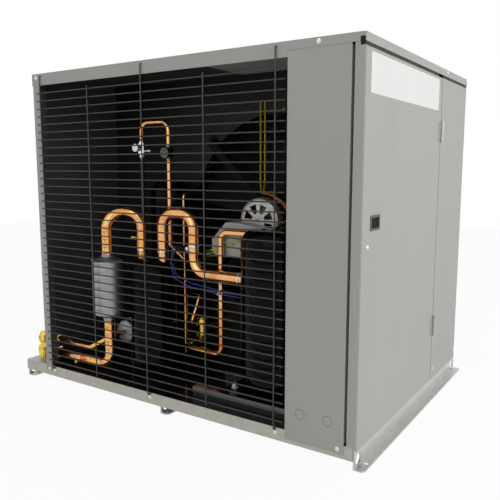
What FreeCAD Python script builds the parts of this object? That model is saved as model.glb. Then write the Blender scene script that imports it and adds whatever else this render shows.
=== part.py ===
import FreeCAD, Part
import math
import os

from FreeCAD import Vector

# Outdoor refrigeration condensing unit. All sizes are in millimetres.
# While it is drawn, x runs from the cabinet's left face, y from its front face
# towards the back, and z from the top of the base pan. At the end every piece is
# moved so that the origin is the centre of the anchor holes, on the ground.

# Cabinet
cabinet_width = 1180.0
cabinet_depth = 912.0
cabinet_height = 1000.0
sheet = 1.5
lid_lip = 21.0
front_lip = 38.0
post_width = 31.0
post_return = 25.0
right_post_width = 25.0
cover_width = 170.0
cover_gap = 8.0
cover_return = 18.0
cover_drop = 24.0
back_return = 25.0

# Base pan and the three rails under it
pan_sheet = 2.0
pan_flange = 36.0
pan_overhang = 110.0
pan_side_gap = 8.0
rail_height = 60.0
rail_sheet = 4.0
rail_flange = 30.0
rail_front = 3.0
rail_back_overhang = 18.0
lifting_hole_radius = 17.0
lifting_hole_inset = 25.0
lifting_hole_depth = 38.0
anchor_hole_radius = 7.0
anchor_from_web = 17.0
anchor_inset = 47.0
anchor_back_inset = 40.0

# Door, its hinges and its flush latch
door_front_gap = 3.0
door_length = 613.0
door_gap = 4.0
door_top = 970.0
door_drop = 10.0
door_fold = 10.0
plenum_inset = 20.0
hinge_pin_radius = 2.5
hinge_knuckle_radius = 4.0
hinge_length = 62.0
hinge_leaf = 18.0
hinge_sheet = 2.0
hinge_lower = 176.0
hinge_upper = 805.0
hinge_pin_clearance = 0.05
door_screw_y = 39.0
door_screw_z = 502.0
latch_y = 84.0
latch_z = 559.0
latch_length = 62.0
latch_height = 38.0
latch_depth = 19.0
latch_rim = 4.0
latch_wall = 1.5
latch_fit = 0.3
latch_pin_radius = 2.0
latch_pin_clearance = 0.05
latch_pin_depth = 7.0
latch_pin_from_rim = 5.5
latch_finger_room = 10.0
strike_gap = 4.0

# Wire guard
wire_radius = 2.0
wire_pitch = 25.4
wire_first = 22.0
wire_count = 37
guard_left = 20.0
guard_right = 972.0
guard_uprights = (43.0, 267.0, 492.0, 719.0, 946.0)
guard_hook_z = 993.0
guard_loop_z = -14.0

# Fan wall, fan and motor
wall_y = 372.0
fan_x = 732.0
fan_z = 528.0
orifice_radius = 340.0
collar_depth = 32.0
tip_clearance = 10.0
motor_radius = 72.0
motor_front = 249.0
motor_wall = 4.0
motor_end_wall = 12.0
motor_rotor_radius = 40.0
rotor_gap = 2.0
winding_length = 56.0
winding_from_bell = 8.0
end_bell_depth = 30.0
motor_back = 362.0
shaft_radius = 8.0
shaft_clearance = 0.05
blade_centre_y = 414.0
blade_pitch = 24.0
blade_count = 4
blade_sheet = 2.5
hub_radius = 58.0
hub_depth = 28.0
arm_width = 25.0
arm_sheet = 4.0
arm_from_back = 26.0

# Condenser coil
coil_depth = 60.0
coil_back_gap = 17.0
coil_left = 30.0
coil_right_gap = 30.0
coil_bottom = 12.0
coil_top_gap = 17.0
fin_count = 57
fin_sheet = 2.0
tube_radius = 5.0
end_plate_front = 10.0
end_plate_back = 14.0
tube_pitch = 50.8
tube_row_inset = 16.0
tube_runs = 18
header_x = 14.0
header_from_coil = 34.0
header_start_from_coil = 60.0

# Compressor
shell_radius = 112.0
shell_sheet = 4.0
shell_top = 528.0
shell_bottom = 45.0
compressor_y = 150.0
compressor_cover_gap = 109.0
foot_plate_z = 50.0
foot_sheet = 4.0
foot_x = 98.0
foot_y = 85.0
grommet_radius = 17.0
skid_height = 36.0
skid_width = 44.0
skid_left = 629.0
skid_sheet = 3.0
bolt_radius = 5.0
stator_low = 135.0
stator_high = 265.0
winding_height = 26.0
rotor_radius = 58.0
air_gap = 1.5
bearing_low = 320.0
bearing_high = 366.0
lower_frame_drop = 46.0
lower_frame_height = 14.0
crank_radius = 14.0
orbit_radius = 5.5
pin_radius = 9.0
running_gap = 0.05
wrap_sheet = 4.0
wrap_gap = 0.3
wrap_height = 30.0
wrap_start = 5.0
wrap_end = 22.5
orbit_plate_rise = 24.0
orbit_plate_height = 10.0
orbit_plate_radius = 80.0
tip_gap = 0.3
terminal_box_depth = 50.0
terminal_box_gap = 6.0

# Vessels and pipework
suction_radius = 17.45
suction_wall = 1.5
discharge_radius = 9.5
discharge_wall = 1.2
liquid_radius = 7.95
liquid_wall = 1.1
thin_radius = 4.0
thin_x = 446.0
thin_y = 234.0
thin_top = 610.0
suction_port_z = 361.0
discharge_y = 181.0
discharge_top_z = 494.0
discharge_x = 638.0
discharge_low_z = 98.0
discharge_back_x = 478.0
accumulator_x = 381.0
accumulator_y = 150.0
accumulator_radius = 77.0
accumulator_top = 398.0
accumulator_foot_radius = 95.0
port_left = 50.0
port_right = 44.0
receiver_x = 335.0
receiver_y = 298.0
receiver_radius = 70.0
receiver_top = 650.0
receiver_inlet_z = 250.0
receiver_outlet_z = 90.0
vessel_sheet = 3.0
filter_x = 262.0
filter_y = 58.0
filter_radius = 51.0
filter_bottom = 190.0
filter_top = 409.0
suction_line_z = 31.0
loop_top = 549.0
suction_leg = 129.0
switch_z = 436.0
access_z = 459.0
drier_x = 240.0
drier_y = 150.0
drier_z = 121.0
drier_radius = 41.0
drier_length = 90.0
riser_x = 397.0
riser_y = 220.0
return_x = 276.0
liquid_loop_top = 845.0
liquid_line_y = 58.0
sight_z = 742.0
window_radius = 17.0
window_reach = 24.0
solenoid_z = 756.0
valve_body_radius = 17.0
valve_body_height = 38.0
head_valve_x = 508.0
head_valve_y = 250.0
head_valve_z = 150.0
head_valve_reach = 24.0

# Service valves outside the left panel
valve_x = -40.0
valve_y = 58.0
liquid_valve_z = 84.0
cap_front = 11.0
cap_length = 20.0
cap_wall = 2.5
thread_gap = 0.3
valve_half = 20.0
valve_stub = 34.0
socket_depth = 28.0
inner_socket_depth = 10.0
suction_cap_radius = 18.5
liquid_cap_radius = 16.5
stem_radius = 5.0

# Control box
box_depth = 105.0
box_bottom = 30.0
box_top = 958.0
contactor_inset = 36.0
contactor_z = 700.0
contactor_travel = 3.5
contactor_width = 70.0
contactor_height = 78.0
contactor_depth = 62.0
slot_side = 30.0
slot_floor = 40.0
carrier_gap = 0.1
terminal_z = 560.0
terminal_count = 8
terminal_pitch = 11.0

# Wiring
lead_radius = 2.4
lead_x = 665.0
lead_spacing = 17.0
seat_gap = 0.3

# Fasteners
screw_head_radius = 6.5
screw_head_height = 3.0
screw_shank_radius = 2.4
screw_length = 9.0

# Places that follow from the sizes above
x_axis = Vector(1, 0, 0)
y_axis = Vector(0, 1, 0)
z_axis = Vector(0, 0, 1)
front = y_axis * -1
post_face = -sheet
lid_face = -2 * sheet
cover_left = cabinet_width - right_post_width - cover_gap - cover_width
cover_right = cover_left + cover_width
post_left = cabinet_width - right_post_width
lid_under = cabinet_height - sheet
pan_right = cabinet_width - pan_side_gap
rail_back = cabinet_depth + rail_back_overhang
rail_pitch = (pan_right + pan_overhang - pan_sheet) / 2
rail_places = tuple(pan_right - rail_pitch * step for step in (2, 1, 0))
plenum_x = cabinet_width - plenum_inset
door_back = door_front_gap + door_length
hinge_y = door_back + door_gap / 2
hinge_x = cabinet_width + hinge_sheet + hinge_knuckle_radius - 0.5
compressor_x = cover_left - compressor_cover_gap
coil_back = cabinet_depth - coil_back_gap
coil_front = coil_back - coil_depth
tube_rows = (coil_front + tube_row_inset, coil_back - tube_row_inset)
coil_right = cabinet_width - coil_right_gap
coil_top = cabinet_height - coil_top_gap
arm_y = motor_back - arm_from_back
header_start_y = coil_front - header_start_from_coil
winding_y = motor_front + end_bell_depth + winding_from_bell
door_screw_place = (cabinet_width, door_screw_y, door_screw_z, x_axis)
strike_x = cabinet_width - door_fold - strike_gap
latch_pivot_x = cabinet_width - latch_pin_depth
latch_pivot_y = latch_y - latch_length / 2 + latch_rim + latch_pin_from_rim
orbit_plate_z = bearing_high + orbit_plate_rise
wrap_z = orbit_plate_z + orbit_plate_height
suction_leg_x = accumulator_x + port_right + suction_leg
head_valve_back = head_valve_y + head_valve_reach
suction_valve_z = suction_line_z
control_left = cover_left + sheet + 0.5
control_right = cover_right - sheet - 0.5
contactor_x = control_left + contactor_inset
control_back = box_depth - sheet


# Shape helpers
def box(x0, y0, z0, x1, y1, z1):
    return Part.makeBox(x1 - x0, y1 - y0, z1 - z0, Vector(x0, y0, z0))


def rod(x, y, z, radius, length, direction=z_axis):
    return Part.makeCylinder(radius, length, Vector(x, y, z), direction)


def ring(x, y, z, outer, inner, length, direction=z_axis):
    return rod(x, y, z, outer, length, direction).cut(rod(x, y, z, inner, length, direction))


def joined(*shapes):
    return shapes[0].multiFuse(list(shapes[1:])).removeSplitter()


def outline(points):
    """A closed wire; a point that is a pair of pairs is an arc through the first to the second."""
    edges = []
    start = points[0]
    for step in list(points[1:]) + [points[0]]:
        if isinstance(step[0], tuple):
            middle, end = step
            edges.append(Part.Arc(Vector(*start), Vector(*middle), Vector(*end)).toShape())
        else:
            end = step
            if Vector(*start).distanceToPoint(Vector(*end)) > 1e-6:
                edges.append(Part.LineSegment(Vector(*start), Vector(*end)).toShape())
        start = end
    return Part.Wire(edges)


def plane_point(plane, first, second, third):
    return {"xy": (first, second, third), "xz": (first, third, second), "yz": (third, first, second)}[plane]


def prism(plane, points, low, high):
    """A flat outline in a plane, given thickness from low to high along the third axis."""
    placed = []
    for point in points:
        if isinstance(point[0], tuple):
            placed.append(tuple(plane_point(plane, a, b, low) for a, b in point))
        else:
            placed.append(plane_point(plane, point[0], point[1], low))
    along = Vector(*plane_point(plane, 0, 0, high - low))
    return Part.Face(outline(placed)).extrude(along)


def lathe(points, x, y, z, direction=z_axis):
    """Turns an outline of (radius, height) points about an axis that starts at x, y, z."""
    placed = []
    for point in points:
        if isinstance(point[0], tuple):
            placed.append(tuple((a, 0, b) for a, b in point))
        else:
            placed.append((point[0], 0, point[1]))
    turned = Part.Face(outline(placed)).revolve(Vector(0, 0, 0), z_axis, 360)
    turned.Placement = FreeCAD.Placement(Vector(x, y, z), FreeCAD.Rotation(z_axis, direction))
    return turned


def bent_path(points, bend):
    """Straight runs joined by tangent arcs of one bend radius."""
    corners = [Vector(*point) for point in points]
    edges = []
    start = corners[0]
    for before, corner, after in zip(corners, corners[1:], corners[2:]):
        back = (before - corner).normalize()
        ahead = (after - corner).normalize()
        half = back.getAngle(ahead) / 2
        trim = bend / math.tan(half)
        inward = (back + ahead).normalize()
        centre = corner + inward * (bend / math.sin(half))
        arc_start = corner + back * trim
        arc_end = corner + ahead * trim
        if start.distanceToPoint(arc_start) > 1e-4:
            edges.append(Part.LineSegment(start, arc_start).toShape())
        edges.append(Part.Arc(arc_start, centre - inward * bend, arc_end).toShape())
        start = arc_end
    if start.distanceToPoint(corners[-1]) > 1e-4:
        edges.append(Part.LineSegment(start, corners[-1]).toShape())
    return Part.Wire(edges)


def swept(points, radius, bend):
    path = bent_path(points, bend)
    heading = (Vector(*points[1]) - Vector(*points[0])).normalize()
    circle = Part.Circle(Vector(*points[0]), heading, radius).toShape()
    return path.makePipe(Part.Face(Part.Wire([circle])))


def pipe(points, radius, wall, bend):
    return swept(points, radius, bend).cut(swept(points, radius - wall, bend))


def moved(shape, x, y, z):
    copy = shape.copy()
    copy.translate(Vector(x, y, z))
    return copy


def drilled(shape, holes):
    return shape.cut(list(holes)) if holes else shape


# Fasteners
def screw(x, y, z, direction):
    """A pan-head sheet screw; its head sits on the face and its shank goes in."""
    back = direction * -1
    head = lathe(
        [(0, 0), (screw_head_radius, 0), (screw_head_radius, screw_head_height * 0.4),
         (screw_head_radius * 0.6, screw_head_height), (0, screw_head_height)], x, y, z, direction)
    shank = rod(x, y, z, screw_shank_radius, screw_length, back)
    return head.fuse(shank).removeSplitter()


def screw_hole(x, y, z, direction):
    reach = screw_length + 1
    return rod(x, y, z, screw_shank_radius, reach, direction * -1)


cabinet_screws = [
    (17.0, post_face, -12.0, front),
    (cover_right - 17.0, post_face, -12.0, front),
    (3.0 + post_width / 2, lid_face, 987.0, front),
    (cover_left + cover_width / 2, lid_face, 990.0, front),
    (cabinet_width + sheet, door_back + 48.0, 991.0, x_axis),
    (cabinet_width + sheet, cabinet_depth - 10.0, 991.0, x_axis),
    (cabinet_width, door_back + 20.0, 25.0, x_axis),
    (cabinet_width, cabinet_depth - 14.0, 25.0, x_axis),
    (-sheet, 60.0, 990.0, x_axis * -1),
    (-sheet, cabinet_depth - 60.0, 990.0, x_axis * -1),
]
loop_screws = [(x, 0.0, guard_loop_z, front) for x in guard_uprights[::2]]
screw_places = cabinet_screws + loop_screws
screw_holes = [screw_hole(*place) for place in screw_places]


# Base
def base_pan():
    floor = box(-pan_overhang, 0, -pan_sheet, pan_right, cabinet_depth, 0)
    front_flange = box(-pan_overhang, 0, -pan_flange, pan_right, pan_sheet, -pan_sheet)
    back_flange = box(-pan_overhang, cabinet_depth - pan_sheet, -pan_flange, pan_right, cabinet_depth, -pan_sheet)
    left_flange = box(-pan_overhang, pan_sheet, -pan_flange, pan_sheet - pan_overhang,
                      cabinet_depth - pan_sheet, -pan_sheet)
    right_flange = box(pan_right - pan_sheet, pan_sheet, -pan_flange, pan_right,
                       cabinet_depth - pan_sheet, -pan_sheet)
    pan = joined(floor, front_flange, back_flange, left_flange, right_flange)
    notches = [box(x, cabinet_depth - 3 * pan_sheet, -rail_height, x + rail_sheet, rail_back, -pan_sheet)
               for x in rail_places[:2]]
    hook_room = [rod(x, y, -lifting_hole_depth, lifting_hole_radius + 2.0, pan_sheet + 2, x_axis)
                 for x in (-pan_overhang - 1, pan_right - pan_sheet - 1)
                 for y in (rail_front + lifting_hole_inset, rail_back - lifting_hole_inset)]
    return [drilled(pan, notches + hook_room + screw_holes)]


def base_rail(x):
    bottom = -rail_height
    web = box(x, rail_front, bottom, x + rail_sheet, rail_back, -pan_sheet)
    corner = 8.0
    flange = prism("xy", [
        (x, rail_front), (x + rail_flange - corner, rail_front), (x + rail_flange, rail_front + corner),
        (x + rail_flange, rail_back - corner), (x + rail_flange - corner, rail_back), (x, rail_back),
    ], bottom, bottom + rail_sheet)
    holes = []
    for y in (rail_front + lifting_hole_inset, rail_back - lifting_hole_inset):
        holes.append(rod(x - 1, y, -lifting_hole_depth, lifting_hole_radius, rail_sheet + 2, x_axis))
    for y in (rail_front + anchor_inset, rail_back - anchor_back_inset):
        holes.append(rod(x + anchor_from_web, y, bottom - 1, anchor_hole_radius, rail_sheet + 2))
    return drilled(joined(web, flange), holes)


def base_rails():
    return [base_rail(x) for x in rail_places]


# Cabinet
def left_side_panel():
    side = box(0, 0, 0, sheet, cabinet_depth, lid_under)
    fold = box(sheet, cabinet_depth - sheet, 0, back_return, cabinet_depth, lid_under)
    line_holes = [
        rod(-1, filter_y, suction_line_z, suction_radius + 2, sheet + 2, x_axis),
        rod(-1, valve_y, liquid_valve_z, liquid_radius + 2, sheet + 2, x_axis),
    ]
    return [drilled(joined(side, fold), line_holes + screw_holes)]


def left_post():
    face = box(0, post_face, -20.0, post_width, 0, lid_under)
    fold = box(post_width - sheet, 0, 0, post_width, post_return, lid_under)
    return drilled(joined(face, fold), screw_holes)


def right_post():
    face = box(post_left, post_face, 0, cabinet_width, 0, lid_under)
    inner = box(post_left, 0, 0, post_left + sheet, 20.0, lid_under)
    strike = box(strike_x, 0, 0, strike_x + sheet, 40.0, lid_under)
    edge = box(cabinet_width - sheet, 0, 0, cabinet_width, 1.0, lid_under)
    return joined(face, inner, strike, edge)


def door_header():
    web = box(strike_x, 40.0, door_top - 15.0, strike_x + sheet, door_back + door_gap, lid_under)
    shelf = box(plenum_x + sheet, 40.0, lid_under - sheet, strike_x, door_back + door_gap, lid_under)
    return joined(web, shelf)


def frame_posts():
    return [left_post(), right_post(), door_header()]


def rear_side_panel():
    start = door_back + door_gap
    side = box(cabinet_width - sheet, start, -cover_drop / 2, cabinet_width, cabinet_depth, lid_under)
    jog = box(plenum_x, start, 0, cabinet_width - sheet, start + sheet, lid_under)
    inner = box(plenum_x, wall_y + sheet, 0, plenum_x + sheet, start, lid_under)
    fold = box(cabinet_width - back_return, cabinet_depth - sheet, 0, cabinet_width - sheet, cabinet_depth,
               lid_under)
    return [drilled(joined(side, jog, inner, fold), screw_holes)]


def lid():
    left = -sheet
    right = cabinet_width + sheet
    back = cabinet_depth + sheet
    top = box(left, lid_face, lid_under, right, back, cabinet_height)
    deep_lip = box(left, lid_face, cabinet_height - front_lip, cover_left, post_face, lid_under)
    shallow_lip = box(cover_left, lid_face, cabinet_height - lid_lip, right, post_face, lid_under)
    lip_low = cabinet_height - lid_lip
    left_lip = box(left, post_face, lip_low, 0, back, lid_under)
    right_lip = box(cabinet_width, post_face, lip_low, right, back, lid_under)
    back_lip = box(0, cabinet_depth, lip_low, cabinet_width, back, lid_under)
    hook_holes = [rod(x, lid_face - 1, guard_hook_z - 2.5, wire_radius, 4, y_axis) for x in guard_uprights[::2]]
    return [drilled(joined(top, deep_lip, shallow_lip, left_lip, right_lip, back_lip), hook_holes + screw_holes)]


def fan_bulkhead():
    wall = box(sheet, wall_y, 0, plenum_x, wall_y + sheet, lid_under)
    far_edge = box(plenum_x, wall_y, 0, plenum_x + sheet, wall_y + sheet, lid_under)
    hole = rod(fan_x, wall_y - 1, fan_z, orifice_radius, sheet + 2, y_axis)
    collar = ring(fan_x, wall_y, fan_z, orifice_radius + sheet, orifice_radius, collar_depth, y_axis)
    pipe_holes = [
        rod(discharge_back_x, wall_y - 1, discharge_low_z, discharge_radius, sheet + 2, y_axis),
        rod(head_valve_x, wall_y - 1, head_valve_z, liquid_radius, sheet + 2, y_axis),
    ]
    return [drilled(joined(wall, far_edge).cut(hole).fuse(collar).removeSplitter(), pipe_holes)]


def control_cover():
    top = cabinet_height - lid_lip + 2.0
    face = box(cover_left, post_face, -cover_drop, cover_right, 0, top)
    left_fold = box(cover_left, 0, 4.0, cover_left + sheet, cover_return, top - 6.0)
    right_fold = box(cover_right - sheet, 0, 4.0, cover_right, cover_return, top - 6.0)
    knockout_radius = 14.0
    rings = [ring(x, post_face - 1, 54.0, knockout_radius, knockout_radius - 0.8, 1.6, y_axis)
             for x in (cover_left + 45.0, cover_right - 46.0)]
    return [drilled(joined(face, left_fold, right_fold), rings + screw_holes)]


# Wire guard
def guard_upright(x, tall):
    level = lid_face - wire_radius
    lane = level - 2 * wire_radius
    if not tall:
        return rod(x, lane, wire_first - 9.0, wire_radius, wire_pitch * (wire_count - 1) + 18.0)
    bend = 3.0
    run = [(x, post_face, guard_hook_z - 2.5), (x, lane, guard_hook_z - 2.5), (x, lane, guard_loop_z + 14.0),
           (x, -wire_radius, guard_loop_z + 14.0 - (wire_radius + abs(lane))),
           (x, -wire_radius, guard_loop_z + 5.0)]
    upright = swept(run, wire_radius, bend)
    loop = Part.makeTorus(5.0, wire_radius, Vector(x, -wire_radius, guard_loop_z), y_axis)
    return joined(upright, loop)


def wire_guard():
    level = lid_face - wire_radius
    wires = []
    for step in range(wire_count):
        z = wire_first + step * wire_pitch
        bend = 6.0
        if z < cabinet_height - front_lip - wire_radius:
            left_end = (guard_left, post_face - wire_radius, z)
            turn = [(guard_left + 12.0, post_face - wire_radius, z), (guard_left + 17.0, level, z)]
            wires.append(swept([left_end] + turn + [(guard_right, level, z)], wire_radius, bend))
        else:
            wires.append(rod(guard_left, level, z, wire_radius, guard_right - guard_left, x_axis))
    for index, x in enumerate(guard_uprights):
        wires.append(guard_upright(x, index % 2 == 0))
    return wires


# Door, hinges and latch
def latch_window(margin, low, high):
    half = latch_length / 2 - margin
    rise = latch_height / 2 - margin
    return box(low, latch_y - half, latch_z - rise, high, latch_y + half, latch_z + rise)


def door():
    inner = cabinet_width - door_fold
    skin = box(cabinet_width - sheet, door_front_gap, -door_drop, cabinet_width, door_back, door_top)
    front_fold = box(inner, door_front_gap, 4.0, cabinet_width - sheet, door_front_gap + sheet, door_top)
    back_fold = box(inner, door_back - sheet, 4.0, cabinet_width - sheet, door_back, door_top)
    low_fold = box(inner, door_front_gap + sheet, 4.0, cabinet_width - sheet, door_back - sheet, 4.0 + sheet)
    top_fold = box(inner, door_front_gap + sheet, door_top - sheet, cabinet_width - sheet, door_back - sheet,
                   door_top)
    leaf = joined(skin, front_fold, back_fold, low_fold, top_fold)
    window = latch_window(latch_rim, cabinet_width - 2 * sheet, cabinet_width + 1)
    return [drilled(leaf, [window, screw_hole(*door_screw_place)])]


def door_screw():
    return [screw(*door_screw_place)]


def hinge_leaves(on_door):
    """Each hinge has five knuckles; the frame holds three and the door holds two."""
    leaves = []
    knuckle = hinge_length / 5
    face = cabinet_width
    for centre in (hinge_lower, hinge_upper):
        low = centre - hinge_length / 2
        if on_door:
            plate = box(face, hinge_y - door_gap / 2 - hinge_leaf, low, face + hinge_sheet,
                        hinge_y - door_gap / 2, low + hinge_length)
            own = (1, 3)
        else:
            plate = box(face, hinge_y + door_gap / 2, low, face + hinge_sheet,
                        hinge_y + door_gap / 2 + hinge_leaf, low + hinge_length)
            own = (0, 2, 4)
        toward = -1 if on_door else 1
        pieces = [plate]
        for index in own:
            z = low + index * knuckle + 0.15
            height = knuckle - 0.3
            pieces.append(rod(hinge_x, hinge_y, z, hinge_knuckle_radius, height))
            bridge_y = sorted((hinge_y, hinge_y + toward * (door_gap / 2 + 1.0)))
            pieces.append(box(face + 0.4, bridge_y[0], z, hinge_x, bridge_y[1], z + height))
        leaf = joined(*pieces)
        others = [index for index in range(5) if index not in own]
        room = [rod(hinge_x, hinge_y, low + index * knuckle - 0.15, hinge_knuckle_radius + 0.4, knuckle + 0.3)
                for index in others]
        bore_radius = hinge_pin_radius + (hinge_pin_clearance if on_door else 0)
        bore = rod(hinge_x, hinge_y, low - 1, bore_radius, hinge_length + 2)
        leaves.append(drilled(leaf, room + [bore]))
    return leaves


def hinge_door_leaves():
    return hinge_leaves(True)


def hinge_pins():
    pins = []
    for centre in (hinge_lower, hinge_upper):
        low = centre - hinge_length / 2
        shank = rod(hinge_x, hinge_y, low - 1.5, hinge_pin_radius, hinge_length + 1.5)
        head = rod(hinge_x, hinge_y, low + hinge_length, hinge_pin_radius + 1.0, 2.0)
        pins.append(joined(shank, head))
    return pins


def hinge_frame_leaves():
    return hinge_leaves(False) + hinge_pins()


def latch_housing():
    wall = latch_wall
    outer = latch_window(latch_rim + latch_fit, cabinet_width - latch_depth, cabinet_width)
    inner = latch_window(latch_rim + latch_fit + wall, cabinet_width - latch_depth + wall, cabinet_width + 2)
    rim = latch_window(0, cabinet_width, cabinet_width + 1.5)
    cup = joined(outer, rim).cut(inner)
    tongue_way = box(cabinet_width - latch_depth - 1, latch_y - latch_length / 2, latch_z - 11.0,
                     cabinet_width - latch_depth + wall + 0.1, latch_pivot_y + 9.0, latch_z + 11.0)
    front_way = box(cabinet_width - latch_depth - 1, latch_y - latch_length / 2, latch_z - 11.0,
                    cabinet_width - sheet - latch_fit, latch_pivot_y - 3.0, latch_z + 11.0)
    pin_bore = rod(latch_pivot_x, latch_pivot_y, latch_z - latch_height / 2,
                   latch_pin_radius + latch_pin_clearance, latch_height)
    return [drilled(cup, [tongue_way, front_way, pin_bore])]


def latch_paddle():
    half = latch_height / 2 - latch_rim - latch_fit
    plate_half = half - 2.2
    end = latch_y + latch_length / 2 - latch_rim - latch_fit - latch_wall - latch_finger_room
    plate = box(cabinet_width - 4.0, latch_pivot_y, latch_z - plate_half,
                cabinet_width - 1.0, end, latch_z + plate_half)
    hub = rod(latch_pivot_x, latch_pivot_y, latch_z - plate_half, 3.6, plate_half * 2)
    pin = rod(latch_pivot_x, latch_pivot_y, latch_z - half, latch_pin_radius, half * 2)
    tongue = prism("xy", [
        (latch_pivot_x - 3.0, latch_pivot_y - 2.5), (latch_pivot_x - 3.0, latch_pivot_y + 2.5),
        (latch_pivot_x - 16.0, latch_pivot_y - 2.0), (latch_pivot_x - 16.0, 41.0),
        (latch_pivot_x - 11.0, 41.0), (latch_pivot_x - 11.0, latch_pivot_y - 6.0),
    ], latch_z - 9.0, latch_z + 9.0)
    return [joined(plate, hub, pin, tongue)]


# Fan and its motor
def fan_motor():
    length = motor_back - motor_front
    rounding = 8.0
    body = lathe([(0, end_bell_depth), (motor_radius, end_bell_depth), (motor_radius, length - rounding),
                  ((motor_radius - 2.5, length - 2.5), (motor_radius - rounding, length)), (0, length)],
                 fan_x, motor_front, fan_z, y_axis)
    cavity = rod(fan_x, motor_front + end_bell_depth, fan_z, motor_radius - motor_wall,
                 length - end_bell_depth - motor_end_wall, y_axis)
    bore = rod(fan_x, motor_front, fan_z, shaft_radius + shaft_clearance, length + 1, y_axis)
    return [body.cut(cavity).cut(bore)]


def motor_windings():
    inner = motor_rotor_radius + rotor_gap
    return [ring(fan_x, winding_y, fan_z, motor_radius - motor_wall, inner, winding_length, y_axis)]


def motor_rotor():
    return [ring(fan_x, winding_y, fan_z, motor_rotor_radius, shaft_radius, winding_length, y_axis)]


def motor_end_bell():
    depth = end_bell_depth
    wall = motor_wall
    dome = lathe([(0, 0), (motor_radius - 12.0, 0), (motor_radius - 3.0, 5.0), (motor_radius + 1.0, 14.0),
                  (motor_radius + 1.0, depth), (motor_radius - wall, depth), (motor_radius - wall, 16.0),
                  (motor_radius - wall - 4.0, 9.0), (motor_radius - 14.0, wall), (0, wall)],
                 fan_x, motor_front, fan_z, y_axis)
    boss = rod(fan_x, motor_front, fan_z, 17.0, 22.0, y_axis)
    vents = []
    vent_count = 8
    for index in range(vent_count):
        turn = 360.0 / vent_count * index + 22.5
        slot = prism("xz", [(24.0, -5.0), (52.0, -13.0), (52.0, 13.0), (24.0, 5.0)], -2.0, 8.0)
        slot.rotate(Vector(0, 0, 0), y_axis, turn)
        vents.append(moved(slot, fan_x, motor_front, fan_z))
    bore = rod(fan_x, motor_front - 1, fan_z, shaft_radius + shaft_clearance, depth, y_axis)
    ears = []
    for index in range(4):
        turn = math.radians(45.0 + 90.0 * index)
        ears.append(rod(fan_x + (motor_radius - 10.0) * math.cos(turn), motor_front + 12.0,
                        fan_z + (motor_radius - 10.0) * math.sin(turn), 5.0, depth - 12.0, y_axis))
    return [drilled(joined(dome, boss, *ears), vents + [bore])]


def motor_mount():
    band = ring(fan_x, arm_y - 8.0, fan_z, motor_radius + 3.0, motor_radius, 20.0, y_axis)
    pieces = [band]
    foot = orifice_radius + 16.0
    toe_length = 24.0
    for index in range(4):
        half = arm_width / 2
        bar = box(motor_radius + 2.0, arm_y, -half, foot, arm_y + arm_sheet, half)
        leg = box(foot - arm_sheet, arm_y, -half, foot, wall_y, half)
        toe = box(foot, wall_y - arm_sheet, -half, foot + toe_length, wall_y, half)
        arm = joined(bar, leg, toe)
        arm.rotate(Vector(0, 0, 0), y_axis, 45.0 + 90.0 * index)
        pieces.append(moved(arm, fan_x, 0, fan_z))
    return [joined(*pieces)]


def fan_shaft():
    return [rod(fan_x, motor_front + 4.0, fan_z, shaft_radius, blade_centre_y + 26.0 - motor_front - 4.0, y_axis)]


def fan_blade():
    hub = ring(fan_x, blade_centre_y - hub_depth / 2, fan_z, hub_radius, shaft_radius, hub_depth, y_axis)
    tip = orifice_radius - tip_clearance
    limit = ring(fan_x, blade_centre_y - 60.0, fan_z, tip, hub_radius - 6.0, 120.0, y_axis)
    blades = []
    for index in range(blade_count):
        leaf = prism("xz", [
            (hub_radius - 12.0, -30.0), ((200.0, -88.0), (tip + 10.0, -62.0)), (tip + 10.0, 84.0),
            ((200.0, 52.0), (hub_radius - 12.0, 30.0)),
        ], -blade_sheet / 2, blade_sheet / 2)
        leaf.rotate(Vector(0, 0, 0), x_axis, blade_pitch)
        leaf.rotate(Vector(0, 0, 0), y_axis, 360.0 / blade_count * index + 20.0)
        blades.append(moved(leaf, fan_x, blade_centre_y, fan_z).common(limit))
    return [joined(hub, *blades)]


# Condenser coil
def tube_heights():
    span = tube_pitch * (tube_runs - 1)
    low = (coil_bottom + coil_top - span) / 2
    return [low + tube_pitch * index for index in range(tube_runs)]


def tube_holes():
    length = coil_right - coil_left + 20.0
    return [rod(coil_left - 10.0, y, z, tube_radius, length, x_axis) for y in tube_rows for z in tube_heights()]


def coil_fins():
    """A stack of plates; each one stands for a bundle of thin fins."""
    plate = box(coil_left, coil_front, coil_bottom, coil_left + fin_sheet, coil_back, coil_top)
    fin = drilled(plate, tube_holes())
    pitch = (coil_right - coil_left - fin_sheet) / (fin_count - 1)
    return [moved(fin, pitch * step, 0, 0) for step in range(fin_count)]


def coil_tubes():
    tubes = []
    end_gap = 6.0
    heights = tube_heights()
    left = coil_left - end_gap
    right = coil_right + end_gap
    for y in tube_rows:
        for z in heights:
            tubes.append(ring(left, y, z, tube_radius, tube_radius - 0.8, right - left, x_axis))
        for index in range(len(heights) - 1):
            middle = (heights[index] + heights[index + 1]) / 2
            bend = Part.makeTorus(tube_pitch / 2 - 9.0, tube_radius, Vector(0, 0, 0), y_axis)
            side = 1 if index % 2 else -1
            keep = box(0, -10, -40, 40, 10, 40) if side > 0 else box(-40, -10, -40, 0, 10, 40)
            half = bend.common(keep)
            stretch = Vector(right if side > 0 else left, y, middle)
            half.translate(stretch)
            tubes.append(half)
    return tubes


def coil_end_plates():
    front_y = coil_front - end_plate_front
    back_y = coil_back + end_plate_back
    ends = [box(x, front_y, 0, x + sheet, back_y, lid_under) for x in (coil_left - sheet, coil_right)]
    strips = [box(coil_left, front_y, z, coil_right, back_y, z + sheet)
              for z in (0, coil_bottom - sheet, coil_top)]
    return [drilled(end, tube_holes()) for end in ends] + strips


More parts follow.
